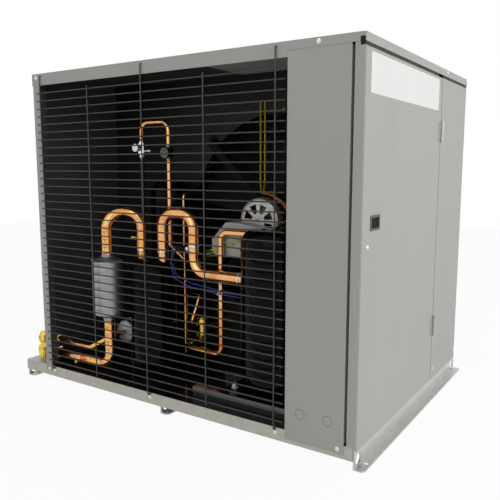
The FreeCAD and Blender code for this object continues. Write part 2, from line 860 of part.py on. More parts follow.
# Compressor
def shell_outline(inset):
    outer = shell_radius - inset
    low = shell_bottom + inset
    high = shell_top - inset
    return [(0, low), (48.0, low), ((outer - 22.0, low + 14.0), (outer, low + 55.0)), (outer, high - 50.0),
            ((outer - 9.0, high - 24.0), (outer - 34.0, high - 8.0)), (0, high)]


def compressor_shell():
    solid = lathe(shell_outline(0), compressor_x, compressor_y, 0)
    hollow = lathe(shell_outline(shell_sheet), compressor_x, compressor_y, 0)
    plate = box(compressor_x - foot_x - 22.0, compressor_y - foot_y - 22.0, foot_plate_z,
                compressor_x + foot_x + 9.0, compressor_y + foot_y + 22.0, foot_plate_z + foot_sheet)
    bolt_holes = [rod(x, y, foot_plate_z - 1, bolt_radius, foot_sheet + 2) for x, y in foot_places()]
    ports = [
        rod(compressor_x, compressor_y, suction_port_z, suction_radius, shell_radius + 5.0, x_axis * -1),
        rod(compressor_x, discharge_y, discharge_top_z, discharge_radius, shell_radius + 5.0, x_axis * -1),
    ]
    body = joined(solid, plate).cut(hollow)
    return [drilled(body, bolt_holes + ports)]


def foot_places():
    return [(compressor_x + side_x * foot_x - (8.0 if side_x > 0 else 0), compressor_y + side_y * foot_y)
            for side_x in (-1, 1) for side_y in (-1, 1)]


def compressor_grommets():
    return [ring(x, y, skid_height, grommet_radius, bolt_radius, foot_plate_z - skid_height)
            for x, y in foot_places()]


def compressor_bolts():
    bolts = []
    nut_radius = 8.5
    for x, y in foot_places():
        top = foot_plate_z + foot_sheet
        low = skid_height - skid_sheet - 8.0
        shank = rod(x, y, low, bolt_radius, top + 16.0 - low)
        washer = rod(x, y, top, 12.0, 2.0)
        turns = [math.radians(60 * corner) for corner in range(6)]
        hexagon = [(x + nut_radius * math.cos(turn), y + nut_radius * math.sin(turn)) for turn in turns]
        nut = prism("xy", hexagon, top + 2.0, top + 10.0)
        bolts.append(joined(shank, washer, nut))
    return bolts


def compressor_rails():
    rails = []
    right = compressor_x + foot_x + 9.0
    for side in (-1, 1):
        y = compressor_y + side * foot_y
        outer = box(skid_left, y - skid_width / 2, 0, right, y + skid_width / 2, skid_height)
        inner = box(skid_left - 1, y - skid_width / 2 + skid_sheet, -1, right + 1,
                    y + skid_width / 2 - skid_sheet, skid_height - skid_sheet)
        holes = [rod(px, py, skid_height - 10, bolt_radius, 20) for px, py in foot_places()]
        rails.append(outer.cut(inner).cut(Part.makeCompound(holes)))
    return rails


def compressor_stator():
    inner = shell_radius - shell_sheet
    core = ring(compressor_x, compressor_y, stator_low, inner, rotor_radius + air_gap, stator_high - stator_low)
    low_coil = ring(compressor_x, compressor_y, stator_low - winding_height, inner - 12.0, rotor_radius + 6.0,
                    winding_height)
    high_coil = ring(compressor_x, compressor_y, stator_high, inner - 12.0, rotor_radius + 6.0, winding_height)
    return [core, low_coil, high_coil]


def bearing_frames():
    inner = shell_radius - shell_sheet
    bore = crank_radius + running_gap
    low = stator_low - lower_frame_drop
    lower = ring(compressor_x, compressor_y, low, inner - 4.0, bore, lower_frame_height)
    windows = []
    for quarter in range(4):
        turn = math.radians(45.0 + 90.0 * quarter)
        windows.append(rod(compressor_x + 62.0 * math.cos(turn), compressor_y + 62.0 * math.sin(turn), low - 1.0,
                           22.0, lower_frame_height + 2.0))
    upper = ring(compressor_x, compressor_y, bearing_low, inner, bore, bearing_high - bearing_low)
    pocket = rod(compressor_x, compressor_y, suction_port_z, suction_radius + 4.0, shell_radius, x_axis * -1)
    kept = rod(compressor_x, compressor_y, bearing_low, 70.0, bearing_high)
    return [drilled(lower, windows), upper.cut(pocket.cut(kept))]


def compressor_crankshaft():
    pin_length = 20.0
    low = stator_low - lower_frame_drop - 8.0
    high = bearing_high + 2.0
    shaft = rod(compressor_x, compressor_y, low, crank_radius, high - low)
    rotor = rod(compressor_x, compressor_y, stator_low, rotor_radius, stator_high - stator_low)
    pin = rod(compressor_x + orbit_radius, compressor_y, high, pin_radius, pin_length)
    return [joined(shaft, rotor, pin)]


def wrap(x, y, z, turned):
    """One spiral wall: the strip between two involutes of the same base circle."""
    base = (2 * (wrap_sheet + orbit_radius + wrap_gap)) / (2 * math.pi)
    half_angle = wrap_sheet / base / 2
    count = 40

    def involute(offset):
        points = []
        for index in range(count + 1):
            spread = wrap_start + (wrap_end - wrap_start) * index / count
            angle = spread + turned
            reach = base * (spread + offset)
            points.append(Vector(x + base * math.cos(angle) + reach * math.sin(angle),
                                 y + base * math.sin(angle) - reach * math.cos(angle), z))
        return points

    outer = involute(half_angle)
    inner = involute(-half_angle)
    edges = []
    for points in (outer, inner):
        curve = Part.BSplineCurve()
        curve.interpolate(points)
        edges.append(curve.toShape())
    edges.append(Part.LineSegment(outer[0], inner[0]).toShape())
    edges.append(Part.LineSegment(outer[-1], inner[-1]).toShape())
    return Part.Face(Part.Wire(Part.__sortEdges__(edges))).extrude(Vector(0, 0, wrap_height))


def orbiting_scroll():
    x = compressor_x + orbit_radius
    plate = rod(x, compressor_y, orbit_plate_z, orbit_plate_radius, orbit_plate_height)
    hub_low = bearing_high + 4.0
    hub_radius_outside = 22.0
    hub = ring(x, compressor_y, hub_low, hub_radius_outside, pin_radius + running_gap, orbit_plate_z - hub_low)
    return [joined(plate, hub, wrap(x, compressor_y, wrap_z, 0.0))]


def fixed_scroll():
    inner = shell_radius - shell_sheet
    low = wrap_z + tip_gap
    high = low + wrap_height
    top = high + 16.0
    plate = rod(compressor_x, compressor_y, high, inner, top - high)
    wall = ring(compressor_x, compressor_y, bearing_high, inner, 92.0, high - bearing_high)
    port = rod(compressor_x, compressor_y, high - 1, 6.0, top - high + 2)
    inlet = rod(compressor_x, compressor_y, low + wrap_height / 2, 12.0, shell_radius, x_axis * -1)
    keep = rod(compressor_x, compressor_y, bearing_high, 90.0, top - bearing_high)
    scroll = joined(plate, wall, wrap(compressor_x, compressor_y, low, math.pi))
    return [scroll.cut(port).cut(inlet.cut(keep))]


def terminal_box():
    y0 = discharge_y + discharge_radius + terminal_box_gap
    y1 = y0 + terminal_box_depth
    points = [(compressor_x - 276.0, 425.0), (compressor_x - 276.0, 468.0), (compressor_x - 222.0, 524.0),
              (compressor_x - 180.0, 524.0), (compressor_x - 20.0, 505.0), (compressor_x - 20.0, 420.0),
              (compressor_x - 250.0, 414.0)]
    cover = prism("xz", points, y0, y1)
    inset = 3.0
    hollow = prism("xz", [(a + (inset if a < compressor_x - 200.0 else -inset),
                           b + (inset if b < 450.0 else -inset)) for a, b in points], y0 + inset, y1 - inset)
    seat = rod(compressor_x, compressor_y, 400.0, shell_radius, 200.0)
    return [cover.cut(hollow).cut(seat)]


# Vessels
def vessel_outline(radius, low, high, dome, inset):
    outer = radius - inset
    bottom = low + inset
    top = high - inset
    crown = radius * 0.3
    shoulder = outer - dome * 0.38
    return [(0, bottom), (crown, bottom), ((shoulder, bottom + dome * 0.45), (outer, bottom + dome)),
            (outer, top - dome), ((shoulder, top - dome * 0.45), (crown, top)), (0, top)]


def vessel(x, y, radius, low, high, dome, inset):
    return lathe(vessel_outline(radius, low, high, dome, inset), x, y, 0)


def suction_accumulator():
    low = 16.0
    dome = 34.0
    size = (accumulator_x, accumulator_y, accumulator_radius, low, accumulator_top, dome)
    foot = lathe([(0, 0), (accumulator_foot_radius, 0), (accumulator_foot_radius, 4.0), (60.0, 4.0), (60.0, 30.0),
                  (0, 30.0)], accumulator_x, accumulator_y, 0)
    ports = [rod(x, accumulator_y, accumulator_top - 60.0, suction_radius, 80.0) for x in accumulator_ports()]
    return [drilled(joined(vessel(*size, 0), foot).cut(vessel(*size, vessel_sheet)), ports)]


def accumulator_ports():
    return (accumulator_x - port_left, accumulator_x + port_right)


def accumulator_u_tube():
    inlet, outlet = accumulator_ports()
    low = 70.0
    return [pipe([(outlet, accumulator_y, accumulator_top - 22.0), (outlet, accumulator_y, low),
                  (inlet + 22.0, accumulator_y, low), (inlet + 22.0, accumulator_y, accumulator_top - 90.0)],
                 suction_radius - suction_wall - seat_gap, suction_wall, 30.0)]


def liquid_receiver():
    low = 10.0
    dome = 32.0
    size = (receiver_x, receiver_y, receiver_radius, low, receiver_top, dome)
    foot = ring(receiver_x, receiver_y, 0, receiver_radius - 14.0, receiver_radius - 18.0, 30.0)
    ports = [rod(receiver_x, receiver_y, z, liquid_radius, receiver_radius + 20.0, x_axis)
             for z in (receiver_inlet_z, receiver_outlet_z)]
    return [drilled(joined(vessel(*size, 0), foot).cut(vessel(*size, vessel_sheet)), ports)]


def suction_filter():
    length = filter_top - filter_bottom
    neck = suction_radius + 2.0
    slope = 20.0
    inner = filter_radius - 3.0
    points = [
        (neck - 2.0, 0), (neck, 0), (neck, 6.0), (filter_radius - 2.0, slope), (filter_radius, slope + 4.0),
        (filter_radius, length - slope - 4.0), (filter_radius - 2.0, length - slope), (neck, length - 6.0),
        (neck, length), (neck - 2.0, length), (neck - 2.0, length - 7.0), (inner, length - slope - 4.0),
        (inner, slope + 4.0), (neck - 2.0, 7.0),
    ]
    can = lathe(points, filter_x, filter_y, filter_bottom)
    tap_z = filter_top - 26.0
    tap = rod(filter_x - filter_radius + 1.0, filter_y, tap_z, 3.2, 12.0, x_axis * -1)
    cap = rod(filter_x - filter_radius - 11.0, filter_y, tap_z, 5.5, 10.0, x_axis * -1)
    return [joined(can, tap, cap)] + filter_core()


def filter_core():
    return [ring(filter_x, filter_y, filter_bottom + 30.0, filter_radius - 14.0, filter_radius - 24.0,
                 filter_top - filter_bottom - 60.0),
            rod(filter_x, filter_y, filter_bottom + 26.0, filter_radius - 3.0, 4.0),
            rod(filter_x, filter_y, filter_top - 30.0, filter_radius - 14.0, 4.0)]


# Pipework
def suction_pipes():
    inlet, outlet = accumulator_ports()
    port_x = compressor_x - math.sqrt(shell_radius ** 2 - suction_radius ** 2)
    valve_end = valve_x + valve_half - inner_socket_depth
    from_valve = pipe([(valve_end, filter_y, suction_line_z), (filter_x, filter_y, suction_line_z),
                       (filter_x, filter_y, filter_bottom + 7.0)], suction_radius, suction_wall, 44.0)
    to_accumulator = pipe([(filter_x, filter_y, filter_top - 7.0), (filter_x, filter_y, loop_top),
                           (inlet, accumulator_y, loop_top), (inlet, accumulator_y, accumulator_top - 30.0)],
                          suction_radius, suction_wall, 57.0)
    leg_x = suction_leg_x
    to_compressor = pipe([(outlet, accumulator_y, accumulator_top - 30.0), (outlet, accumulator_y, loop_top),
                          (leg_x, compressor_y, loop_top), (leg_x, compressor_y, suction_port_z),
                          (port_x + 1.0, compressor_y, suction_port_z)], suction_radius, suction_wall, 50.0)
    return [from_valve, to_accumulator, to_compressor] + pipe_bands()


def pipe_bands():
    inlet, outlet = accumulator_ports()
    thin = 1.0
    width = 7.0
    above = accumulator_top + 18.0
    spots = [(inlet, accumulator_y, above, z_axis), (outlet, accumulator_y, above, z_axis),
             (suction_leg_x, compressor_y, loop_top - 105.0, z_axis),
             (compressor_x - shell_radius - 22.0, compressor_y, suction_port_z, x_axis * -1)]
    return [ring(x, y, z, suction_radius + thin, suction_radius, width, way) for x, y, z, way in spots]


def discharge_pipes():
    off_axis = discharge_y - compressor_y + discharge_radius
    start = compressor_x - math.sqrt(shell_radius ** 2 - off_axis ** 2) + 2.0
    line = pipe([(start, discharge_y, discharge_top_z), (discharge_x, discharge_y, discharge_top_z),
                 (discharge_x, discharge_y, discharge_low_z),
                 (discharge_back_x, discharge_y + 10.0, discharge_low_z),
                 (discharge_back_x, header_start_y, discharge_low_z)], discharge_radius, discharge_wall, 24.0)
    return [line, header_pipe()]


def header_pipe():
    high = tube_heights()[-1] + 8.0
    y = coil_front - header_from_coil
    return pipe([(discharge_back_x, header_start_y, discharge_low_z), (discharge_back_x, y, discharge_low_z),
                 (header_x, y, discharge_low_z), (header_x, y, high - 30.0)],
                discharge_radius, discharge_wall, 22.0)


def condenser_liquid_pipe():
    low = tube_heights()[0] - 8.0
    liquid_y = coil_front - 62.0
    return pipe([(head_valve_x, head_valve_back, head_valve_z), (head_valve_x, liquid_y, head_valve_z),
                   (cabinet_width - 60.0, liquid_y, head_valve_z), (cabinet_width - 60.0, liquid_y, low + 60.0)],
                 liquid_radius, liquid_wall, 20.0)


def head_pressure_valve():
    """A brass body with a dome on top, one pipe stub each side and one to the back."""
    block = lathe([(0, -36.0), (12.0, -36.0), (14.0, -20.0), (14.0, 20.0), (19.0, 24.0), (19.0, 34.0),
                   (13.0, 41.0), (0, 41.0)], head_valve_x, head_valve_y, head_valve_z)
    back = rod(head_valve_x, head_valve_y, head_valve_z, liquid_radius + 2.0, 24.0, y_axis)
    left = rod(head_valve_x, head_valve_y, head_valve_z + 12.0, liquid_radius + 1.5, 22.0, x_axis * -1)
    low = rod(head_valve_x, head_valve_y, head_valve_z - 24.0, liquid_radius + 1.5, 22.0, x_axis * -1)
    return [joined(block, back, left, low)]


def liquid_pipes():
    stub = head_valve_x - 22.0
    receiver_side = receiver_x + math.sqrt(receiver_radius ** 2 - liquid_radius ** 2) - 1.0
    inlet = pipe([(stub, head_valve_y, head_valve_z + 12.0), (stub - 26.0, head_valve_y, head_valve_z + 12.0),
                  (stub - 26.0, receiver_y, receiver_inlet_z), (receiver_side, receiver_y, receiver_inlet_z)],
                 liquid_radius, liquid_wall, 12.0)
    riser = pipe([(receiver_side, receiver_y, receiver_outlet_z), (riser_x + 38.0, receiver_y, receiver_outlet_z),
                  (riser_x + 38.0, riser_y + 30.0, receiver_outlet_z + 30.0),
                  (riser_x + 38.0, riser_y + 30.0, 380.0),
                  (riser_x, riser_y, 430.0), (riser_x, riser_y, sight_z - 20.0)],
                 liquid_radius, liquid_wall, 14.0)
    loop = pipe([(riser_x, riser_y, sight_z + 20.0), (riser_x, riser_y, liquid_loop_top),
                 (return_x, riser_y, liquid_loop_top), (return_x, riser_y, solenoid_z + valve_body_height / 2)],
                liquid_radius, liquid_wall, 30.0)
    drop = pipe([(return_x, riser_y, solenoid_z - valve_body_height / 2), (return_x, riser_y, 300.0),
                 (drier_x, riser_y + 75.0, 240.0), (drier_x, riser_y + 75.0, drier_z),
                 (drier_x, drier_y + drier_length + 14.0, drier_z)], liquid_radius, liquid_wall, 16.0)
    out = pipe([(drier_x, drier_y - 14.0, drier_z), (drier_x, liquid_line_y + 40.0, drier_z),
                (drier_x - 75.0, liquid_line_y, 76.0), (80.0, liquid_line_y, 76.0),
                (40.0, valve_y, liquid_valve_z),
                (valve_x + valve_half - inner_socket_depth, valve_y, liquid_valve_z)],
               liquid_radius, liquid_wall, 16.0)
    return [inlet, riser, loop, drop, out, condenser_liquid_pipe(), thin_line()]


def sight_glass():
    body = lathe([(liquid_radius, -20.0), (liquid_radius + 2.5, -20.0), (15.0, -10.0), (15.0, 10.0),
                  (liquid_radius + 2.5, 20.0), (liquid_radius, 20.0)], riser_x, riser_y, sight_z)
    window = rod(riser_x, riser_y, sight_z, window_radius, window_reach, front)
    lens_radius = window_radius - 4.0
    lens_y = riser_y - window_reach + 3.0
    lens_seat = rod(riser_x, lens_y, sight_z, lens_radius, 4.0, front)
    lens = rod(riser_x, lens_y, sight_z, lens_radius, 2.0, front)
    return [joined(body, window).cut(lens_seat).cut(rod(riser_x, riser_y, sight_z - 30, liquid_radius, 60)), lens]


def solenoid_valve():
    """A bright hexagon body, a coil can that faces the front and a small manual stem at its side."""
    hexagon = []
    for corner in range(6):
        turn = math.radians(60 * corner + 30)
        hexagon.append((return_x + valve_body_radius * math.cos(turn),
                        riser_y + valve_body_radius * math.sin(turn)))
    half = valve_body_height / 2
    body = prism("xy", hexagon, solenoid_z - half, solenoid_z + half)
    necks = rod(return_x, riser_y, solenoid_z - half - 8.0, liquid_radius + 2.5, valve_body_height + 16.0)
    coil = rod(return_x, riser_y, solenoid_z + 4.0, 13.0, 34.0, front)
    stem = rod(return_x, riser_y, solenoid_z - 6.0, 3.5, 34.0, x_axis)
    knob = rod(return_x + 34.0, riser_y, solenoid_z - 6.0, 6.5, 9.0, x_axis)
    bore = rod(return_x, riser_y, solenoid_z - valve_body_height, liquid_radius, 2 * valve_body_height)
    return [joined(body, necks, coil, stem, knob).cut(bore)]


def filter_drier():
    length = drier_length
    neck = liquid_radius + 1.6
    points = [
        (liquid_radius, -14.0), (neck, -14.0), (neck, -4.0), (drier_radius - 6.0, 0),
        ((drier_radius - 1.8, 1.8), (drier_radius, 6.0)), (drier_radius, length - 6.0),
        ((drier_radius - 1.8, length - 1.8), (drier_radius - 6.0, length)), (neck, length + 4.0),
        (neck, length + 14.0), (liquid_radius, length + 14.0), (liquid_radius, length - 2.0),
        (drier_radius - 8.0, length - 4.0), (drier_radius - 3.0, length - 8.0), (drier_radius - 3.0, 8.0),
        (drier_radius - 8.0, 4.0), (liquid_radius, 2.0),
    ]
    return [lathe(points, drier_x, drier_y, drier_z, y_axis), drier_bracket()]


def drier_bracket():
    width = 24.0
    y0 = drier_y + drier_length / 2 - width / 2
    band = ring(drier_x, y0, drier_z, drier_radius + 2.0, drier_radius, width, y_axis)
    leg = box(drier_x - 2.0, y0, 0, drier_x + 2.0, y0 + width, drier_z - drier_radius - 0.5)
    foot = box(drier_x - 2.0, y0, 0, drier_x + 26.0, y0 + width, 3.0)
    return joined(band, leg, foot)


def thin_line():
    """Small sensing line from the base up and back through the bulkhead."""
    corners = [(thin_x, thin_y, 60.0), (thin_x, thin_y, thin_top), (thin_x, wall_y, thin_top)]
    return swept(corners, thin_radius, 20.0)


def pressure_switch():
    x = suction_leg_x
    z = switch_z
    y = compressor_y
    stem = rod(x - suction_radius, y, z, 4.0, 16.0, x_axis * -1)
    body = rod(x - suction_radius - 16.0, y, z, 11.0, 30.0, x_axis * -1)
    hexagon = rod(x - suction_radius - 12.0, y, z, 8.0, 4.0, x_axis * -1)
    return [joined(stem, hexagon, body)]


def access_valves():
    """Two small service ports with hexagon caps."""
    inlet, outlet = accumulator_ports()
    ports = []
    for x, y, z, way in ((inlet - suction_radius, accumulator_y, access_z, x_axis * -1),
                         (filter_x - 125.0, filter_y - suction_radius, suction_line_z, front)):
        end = Vector(x, y, z) + way * 14.0
        stem = rod(x, y, z, 3.0, 14.0, way)
        cap = rod(end.x, end.y, end.z, 5.5, 12.0, way)
        ports.append(joined(stem, cap))
    return ports


# Service valves
def service_valve(z, pipe_radius, boss_radius):
    """A brass block with a tube socket at each side and a threaded boss for the cap at the front."""
    left = valve_x - valve_half - valve_stub
    right = valve_x + valve_half
    block = box(valve_x - valve_half, valve_y - valve_half, z - pipe_radius - 6.0, right, valve_y + valve_half,
                z + pipe_radius + 6.0)
    boss = rod(valve_x, valve_y - valve_half, z, boss_radius, valve_y - valve_half - cap_front - 8.0, front)
    field = rod(valve_x - valve_half, valve_y, z, pipe_radius + 3.0, valve_stub, x_axis * -1)
    way = rod(left, valve_y, z, pipe_radius - 2.5, right - left, x_axis)
    field_socket = rod(left, valve_y, z, pipe_radius, socket_depth, x_axis)
    own_socket = rod(right, valve_y, z, pipe_radius, inner_socket_depth, x_axis * -1)
    stem_bore = rod(valve_x, cap_front, z, stem_radius + running_gap, valve_y - cap_front, y_axis)
    return drilled(joined(block, boss, field), [way, field_socket, own_socket, stem_bore])


def service_valve_bodies():
    return [service_valve(suction_valve_z, suction_radius, suction_cap_radius - cap_wall - thread_gap),
            service_valve(liquid_valve_z, liquid_radius, liquid_cap_radius - cap_wall - thread_gap)]


def valve_stem(z):
    square = 2.6
    shaft = rod(valve_x, valve_y, z, stem_radius, valve_y - cap_front - 14.0, front)
    end = box(valve_x - square, cap_front + 7.0, z - square, valve_x + square, cap_front + 14.0, z + square)
    return joined(shaft, end)


def suction_valve_stem():
    return [valve_stem(suction_valve_z)]


def liquid_valve_stem():
    return [valve_stem(liquid_valve_z)]


def valve_cap(z, radius):
    rounding = 3.0
    cap = lathe([(0, 0), (radius - rounding, 0), ((radius - 0.9, 0.9), (radius, rounding)), (radius, cap_length),
                 (0, cap_length)], valve_x, cap_front, z, y_axis)
    hollow = rod(valve_x, cap_front + cap_wall + 2.0, z, radius - cap_wall, cap_length, y_axis)
    return cap.cut(hollow)


def suction_valve_cap():
    return [valve_cap(suction_valve_z, suction_cap_radius)]


def liquid_valve_cap():
    return [valve_cap(liquid_valve_z, liquid_cap_radius)]


# Controls
def control_box():
    back = box(control_left, box_depth - sheet, box_bottom, control_right, box_depth, box_top)
    left = box(control_left, sheet, box_bottom, control_left + sheet, box_depth - sheet, box_top)
    right = box(control_right - sheet, sheet, box_bottom, control_right, box_depth - sheet, box_top)
    floor = box(control_left + sheet, sheet, box_bottom,
                control_right - sheet, box_depth - sheet, box_bottom + sheet)
    top = box(control_left + sheet, sheet, box_top - sheet, control_right - sheet, box_depth - sheet, box_top)
    feet = box(control_left, box_depth - 20.0, 0, control_left + sheet, box_depth, box_bottom)
    other = box(control_right - sheet, box_depth - 20.0, 0, control_right, box_depth, box_bottom)
    return [joined(back, left, right, floor, top, feet, other)]


def contactor_slot(margin, front_reach, back_reach):
    """The space of the carrier in the contactor's face, made smaller by a margin on each side."""
    low_x = contactor_x + (contactor_width - slot_side) / 2
    low_z = contactor_z + (contactor_height - slot_side) / 2
    return box(low_x + margin, control_back - front_reach, low_z + margin, low_x + slot_side - margin,
               control_back - back_reach, low_z + slot_side - margin)


def contactor():
    body = box(contactor_x, control_back - contactor_depth, contactor_z, contactor_x + contactor_width, control_back,
               contactor_z + contactor_height)
    return [body.cut(contactor_slot(0, contactor_depth + 8.0, slot_floor))]


def contactor_carrier():
    """The plunger that a contactor pulls in when its coil is live."""
    return [contactor_slot(carrier_gap, contactor_depth + 4.0, slot_floor + contactor_travel + seat_gap)]


def terminal_strip():
    rail_left = contactor_x - 10.0
    rail_rise = 12.0
    rail = box(rail_left, control_back - rail_rise, terminal_z, rail_left + 90.0, control_back, terminal_z + 30.0)
    blocks = []
    for step in range(terminal_count):
        left = rail_left + 2.0 + terminal_pitch * step
        blocks.append(box(left, control_back - 34.0, terminal_z + 2.0, left + terminal_pitch - 1.5,
                          control_back - rail_rise, terminal_z + 28.0))
    return [rail] + blocks


def pressure_control():
    back = control_back
    body = box(contactor_x - 8.0, back - 48.0, 220.0, contactor_x + 78.0, back, 330.0)
    bellows = rod(contactor_x + 18.0, back - 24.0, 200.0, 12.0, 20.0)
    second = rod(contactor_x + 52.0, back - 24.0, 200.0, 12.0, 20.0)
    return [joined(body, bellows, second)]


# Wiring, held at both ends
def motor_leads():
    """Two leads from the bulkhead, down across the orifice and over the motor into its far side."""
    leads = []
    wall_side = wall_y - lead_radius - seat_gap
    far_side = fan_x + motor_radius
    over = fan_z + motor_radius + lead_radius + 3.0
    for step in (0, 1):
        x = lead_x + lead_spacing * step
        y = motor_front + 53.0 - 12.0 * step
        leads.append(swept([
            (x, wall_side, 905.0), (x, wall_side, over + 42.0), (x + 33.0, y + 20.0, over + 7.0 + 4.0 * step),
            (fan_x + 24.0, y, over + 2.0), (fan_x + 64.0, y, over - 22.0), (far_side + 20.0, y, fan_z + 20.0),
            (far_side + 20.0, y, fan_z), (far_side + seat_gap, y, fan_z),
        ], lead_radius, 12.0))
    return leads


def ground_leads():
    y = discharge_y + discharge_radius + terminal_box_gap - lead_radius * 0.7 - seat_gap
    return [swept([(compressor_x - 140.0, y, 490.0 - shift), (compressor_x - 230.0, y, 448.0 - shift),
                   (compressor_x - 305.0, y, 426.0 - shift), (compressor_x - 345.0, y + 45.0, 402.0 - shift),
                   (compressor_x - 352.0, wall_y, 380.0 - shift)],
                  lead_radius * 0.7, 16.0) for shift in (0.0, 9.0)]


def switch_leads():
    x = suction_leg_x - suction_radius - 46.0
    y = compressor_y
    leads = []
    for drop, nearer in ((0.0, 0.0), (8.0, 11.0)):
        front_y = y - nearer
        leads.append(swept([
            (x, y, switch_z + 3.0 - drop), (x - 24.0 + drop, y, switch_z + 3.0 - drop),
            (x - 26.0 + drop, front_y - 6.0, switch_z - 41.0 - drop), (x + 10.0, front_y - 22.0, 352.0 - drop),
            (x + 78.0, front_y - 30.0, 334.0 - drop), (x + 190.0, front_y - 26.0, 322.0 - drop),
            (compressor_x - shell_radius - 3.0, front_y - 18.0, 318.0 - drop)], lead_radius * 0.75, 10.0))
    return leads


def wiring_leads():
    return motor_leads() + ground_leads() + switch_leads()


def cabinet_screw_group():
    return [screw(*place) for place in screw_places]


# Every node and the function that makes it
nodes = {
    "base_pan": base_pan,
    "base_rails": base_rails,
    "left_side_panel": left_side_panel,
    "frame_posts": frame_posts,
    "rear_side_panel": rear_side_panel,
    "lid": lid,
    "fan_bulkhead": fan_bulkhead,
    "control_cover": control_cover,
    "control_box": control_box,
    "wire_guard": wire_guard,
    "cabinet_screws": cabinet_screw_group,
    "door": door,
    "door_screw": door_screw,
    "hinge_door_leaves": hinge_door_leaves,
    "hinge_frame_leaves": hinge_frame_leaves,
    "latch_housing": latch_housing,
    "latch_paddle": latch_paddle,
    "fan_motor": fan_motor,
    "motor_windings": motor_windings,
    "motor_rotor": motor_rotor,
    "motor_end_bell": motor_end_bell,
    "motor_mount": motor_mount,
    "fan_shaft": fan_shaft,
    "fan_blade": fan_blade,
    "coil_fins": coil_fins,
    "coil_tubes": coil_tubes,
    "coil_end_plates": coil_end_plates,
    "compressor_shell": compressor_shell,
    "compressor_grommets": compressor_grommets,
    "compressor_bolts": compressor_bolts,
    "compressor_rails": compressor_rails,
    "compressor_stator": compressor_stator,
    "compressor_crankshaft": compressor_crankshaft,
    "bearing_frames": bearing_frames,
    "orbiting_scroll": orbiting_scroll,
    "fixed_scroll": fixed_scroll,
    "terminal_box": terminal_box,
    "suction_accumulator": suction_accumulator,
    "accumulator_u_tube": accumulator_u_tube,
    "liquid_receiver": liquid_receiver,
    "suction_filter": suction_filter,
    "suction_pipes": suction_pipes,
    "discharge_pipes": discharge_pipes,
    "liquid_pipes": liquid_pipes,
    "head_pressure_valve": head_pressure_valve,
    "solenoid_valve": solenoid_valve,
    "sight_glass": sight_glass,
    "filter_drier": filter_drier,
    "pressure_switch": pressure_switch,
    "access_valves": access_valves,
    "service_valve_bodies": service_valve_bodies,
    "suction_valve_stem": suction_valve_stem,
    "liquid_valve_stem": liquid_valve_stem,
    "suction_valve_cap": suction_valve_cap,
    "liquid_valve_cap": liquid_valve_cap,
    "contactor": contactor,
    "contactor_carrier": contactor_carrier,
    "terminal_strip": terminal_strip,
    "pressure_control": pressure_control,
    "wiring_leads": wiring_leads,
}

# The origin: the middle of the outer rails' anchor holes, on the ground
anchor_x = (rail_places[0] + rail_places[2]) / 2 + anchor_from_web
anchor_front = rail_front + anchor_inset
anchor_back = rail_back - anchor_back_inset
to_origin = Vector(-anchor_x, -(anchor_front + anchor_back) / 2, rail_height)

os.makedirs("parts", exist_ok=True)
for name, make in nodes.items():
    solids = []
    for piece in make():
        solids.extend(piece.Solids)
    for solid in solids:
        solid.translate(to_origin)
    whole = Part.makeCompound(solids) if len(solids) > 1 else solids[0]
    if not whole.isValid():
        print("not valid:", name)
    whole.exportStep("parts/" + name + ".step")
    print(name, len(solids), round(whole.Volume))
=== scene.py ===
import math

import bpy
import numpy as np
from mathutils import Matrix, Vector


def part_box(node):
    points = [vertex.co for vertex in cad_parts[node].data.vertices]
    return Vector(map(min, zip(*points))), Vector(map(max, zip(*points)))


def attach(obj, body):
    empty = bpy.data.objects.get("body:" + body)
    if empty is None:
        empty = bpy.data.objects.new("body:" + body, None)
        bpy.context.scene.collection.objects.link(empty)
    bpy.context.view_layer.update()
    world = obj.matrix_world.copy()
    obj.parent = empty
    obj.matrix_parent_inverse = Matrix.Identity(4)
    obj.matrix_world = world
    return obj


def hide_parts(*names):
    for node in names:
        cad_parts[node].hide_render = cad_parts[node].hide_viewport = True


# Outdoor condensing unit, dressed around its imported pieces. Everything is in metres.
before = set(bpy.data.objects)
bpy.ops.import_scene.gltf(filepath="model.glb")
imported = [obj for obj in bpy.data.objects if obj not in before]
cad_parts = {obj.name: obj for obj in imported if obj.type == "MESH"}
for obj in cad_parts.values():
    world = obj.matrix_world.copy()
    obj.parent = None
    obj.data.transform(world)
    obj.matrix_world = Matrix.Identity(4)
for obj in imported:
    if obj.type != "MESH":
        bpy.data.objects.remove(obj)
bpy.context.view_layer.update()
mm = 0.001
print("frame loaded:", len(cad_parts), "pieces")


def corners(name):
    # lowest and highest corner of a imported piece, as arrays
    low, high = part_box(name)
    return np.array(low), np.array(high)


def middle(name):
    # half way between the two corners
    low, high = corners(name)
    return (low + high) / 2


def tone(red, green, blue):
    # screen colour 0 to 255 turned into the linear light that the shaders use
    screen = np.array([red, green, blue]) / 255
    return (*np.where(screen < 0.04045, screen / 12.92, ((screen + 0.055) / 1.055) ** 2.4), 1.0)


def shade(colour, factor):
    # the same colour, darker below a factor of 1 and lighter above
    return (*[part * factor for part in colour[:3]], 1.0)


# Camera: worked out from the edges of the cabinet in the picture
viewpoint = {"place": (1.180, -1.785, 0.755), "turn": 33.29, "down": 7.91, "lens": 42.93, "sensor": 36.0}


def makeCamera():
    # turned about the upright and then tipped down; its own Z axis points back from what it sees
    turn = math.radians(viewpoint["turn"])
    down = math.radians(viewpoint["down"])
    back = Vector((math.sin(turn) * math.cos(down), -math.cos(turn) * math.cos(down), math.sin(down)))
    right = Vector((math.cos(turn), math.sin(turn), 0))
    up = back.cross(right)
    data = bpy.data.cameras.new("camera")
    data.lens = viewpoint["lens"]
    data.sensor_width = viewpoint["sensor"]
    camera = bpy.data.objects.new("camera", data)
    rows = Matrix((right, up, back)).transposed().to_4x4()
    camera.matrix_world = Matrix.Translation(viewpoint["place"]) @ rows
    bpy.context.scene.collection.objects.link(camera)
    bpy.context.scene.camera = camera


makeCamera()
print("camera placed")


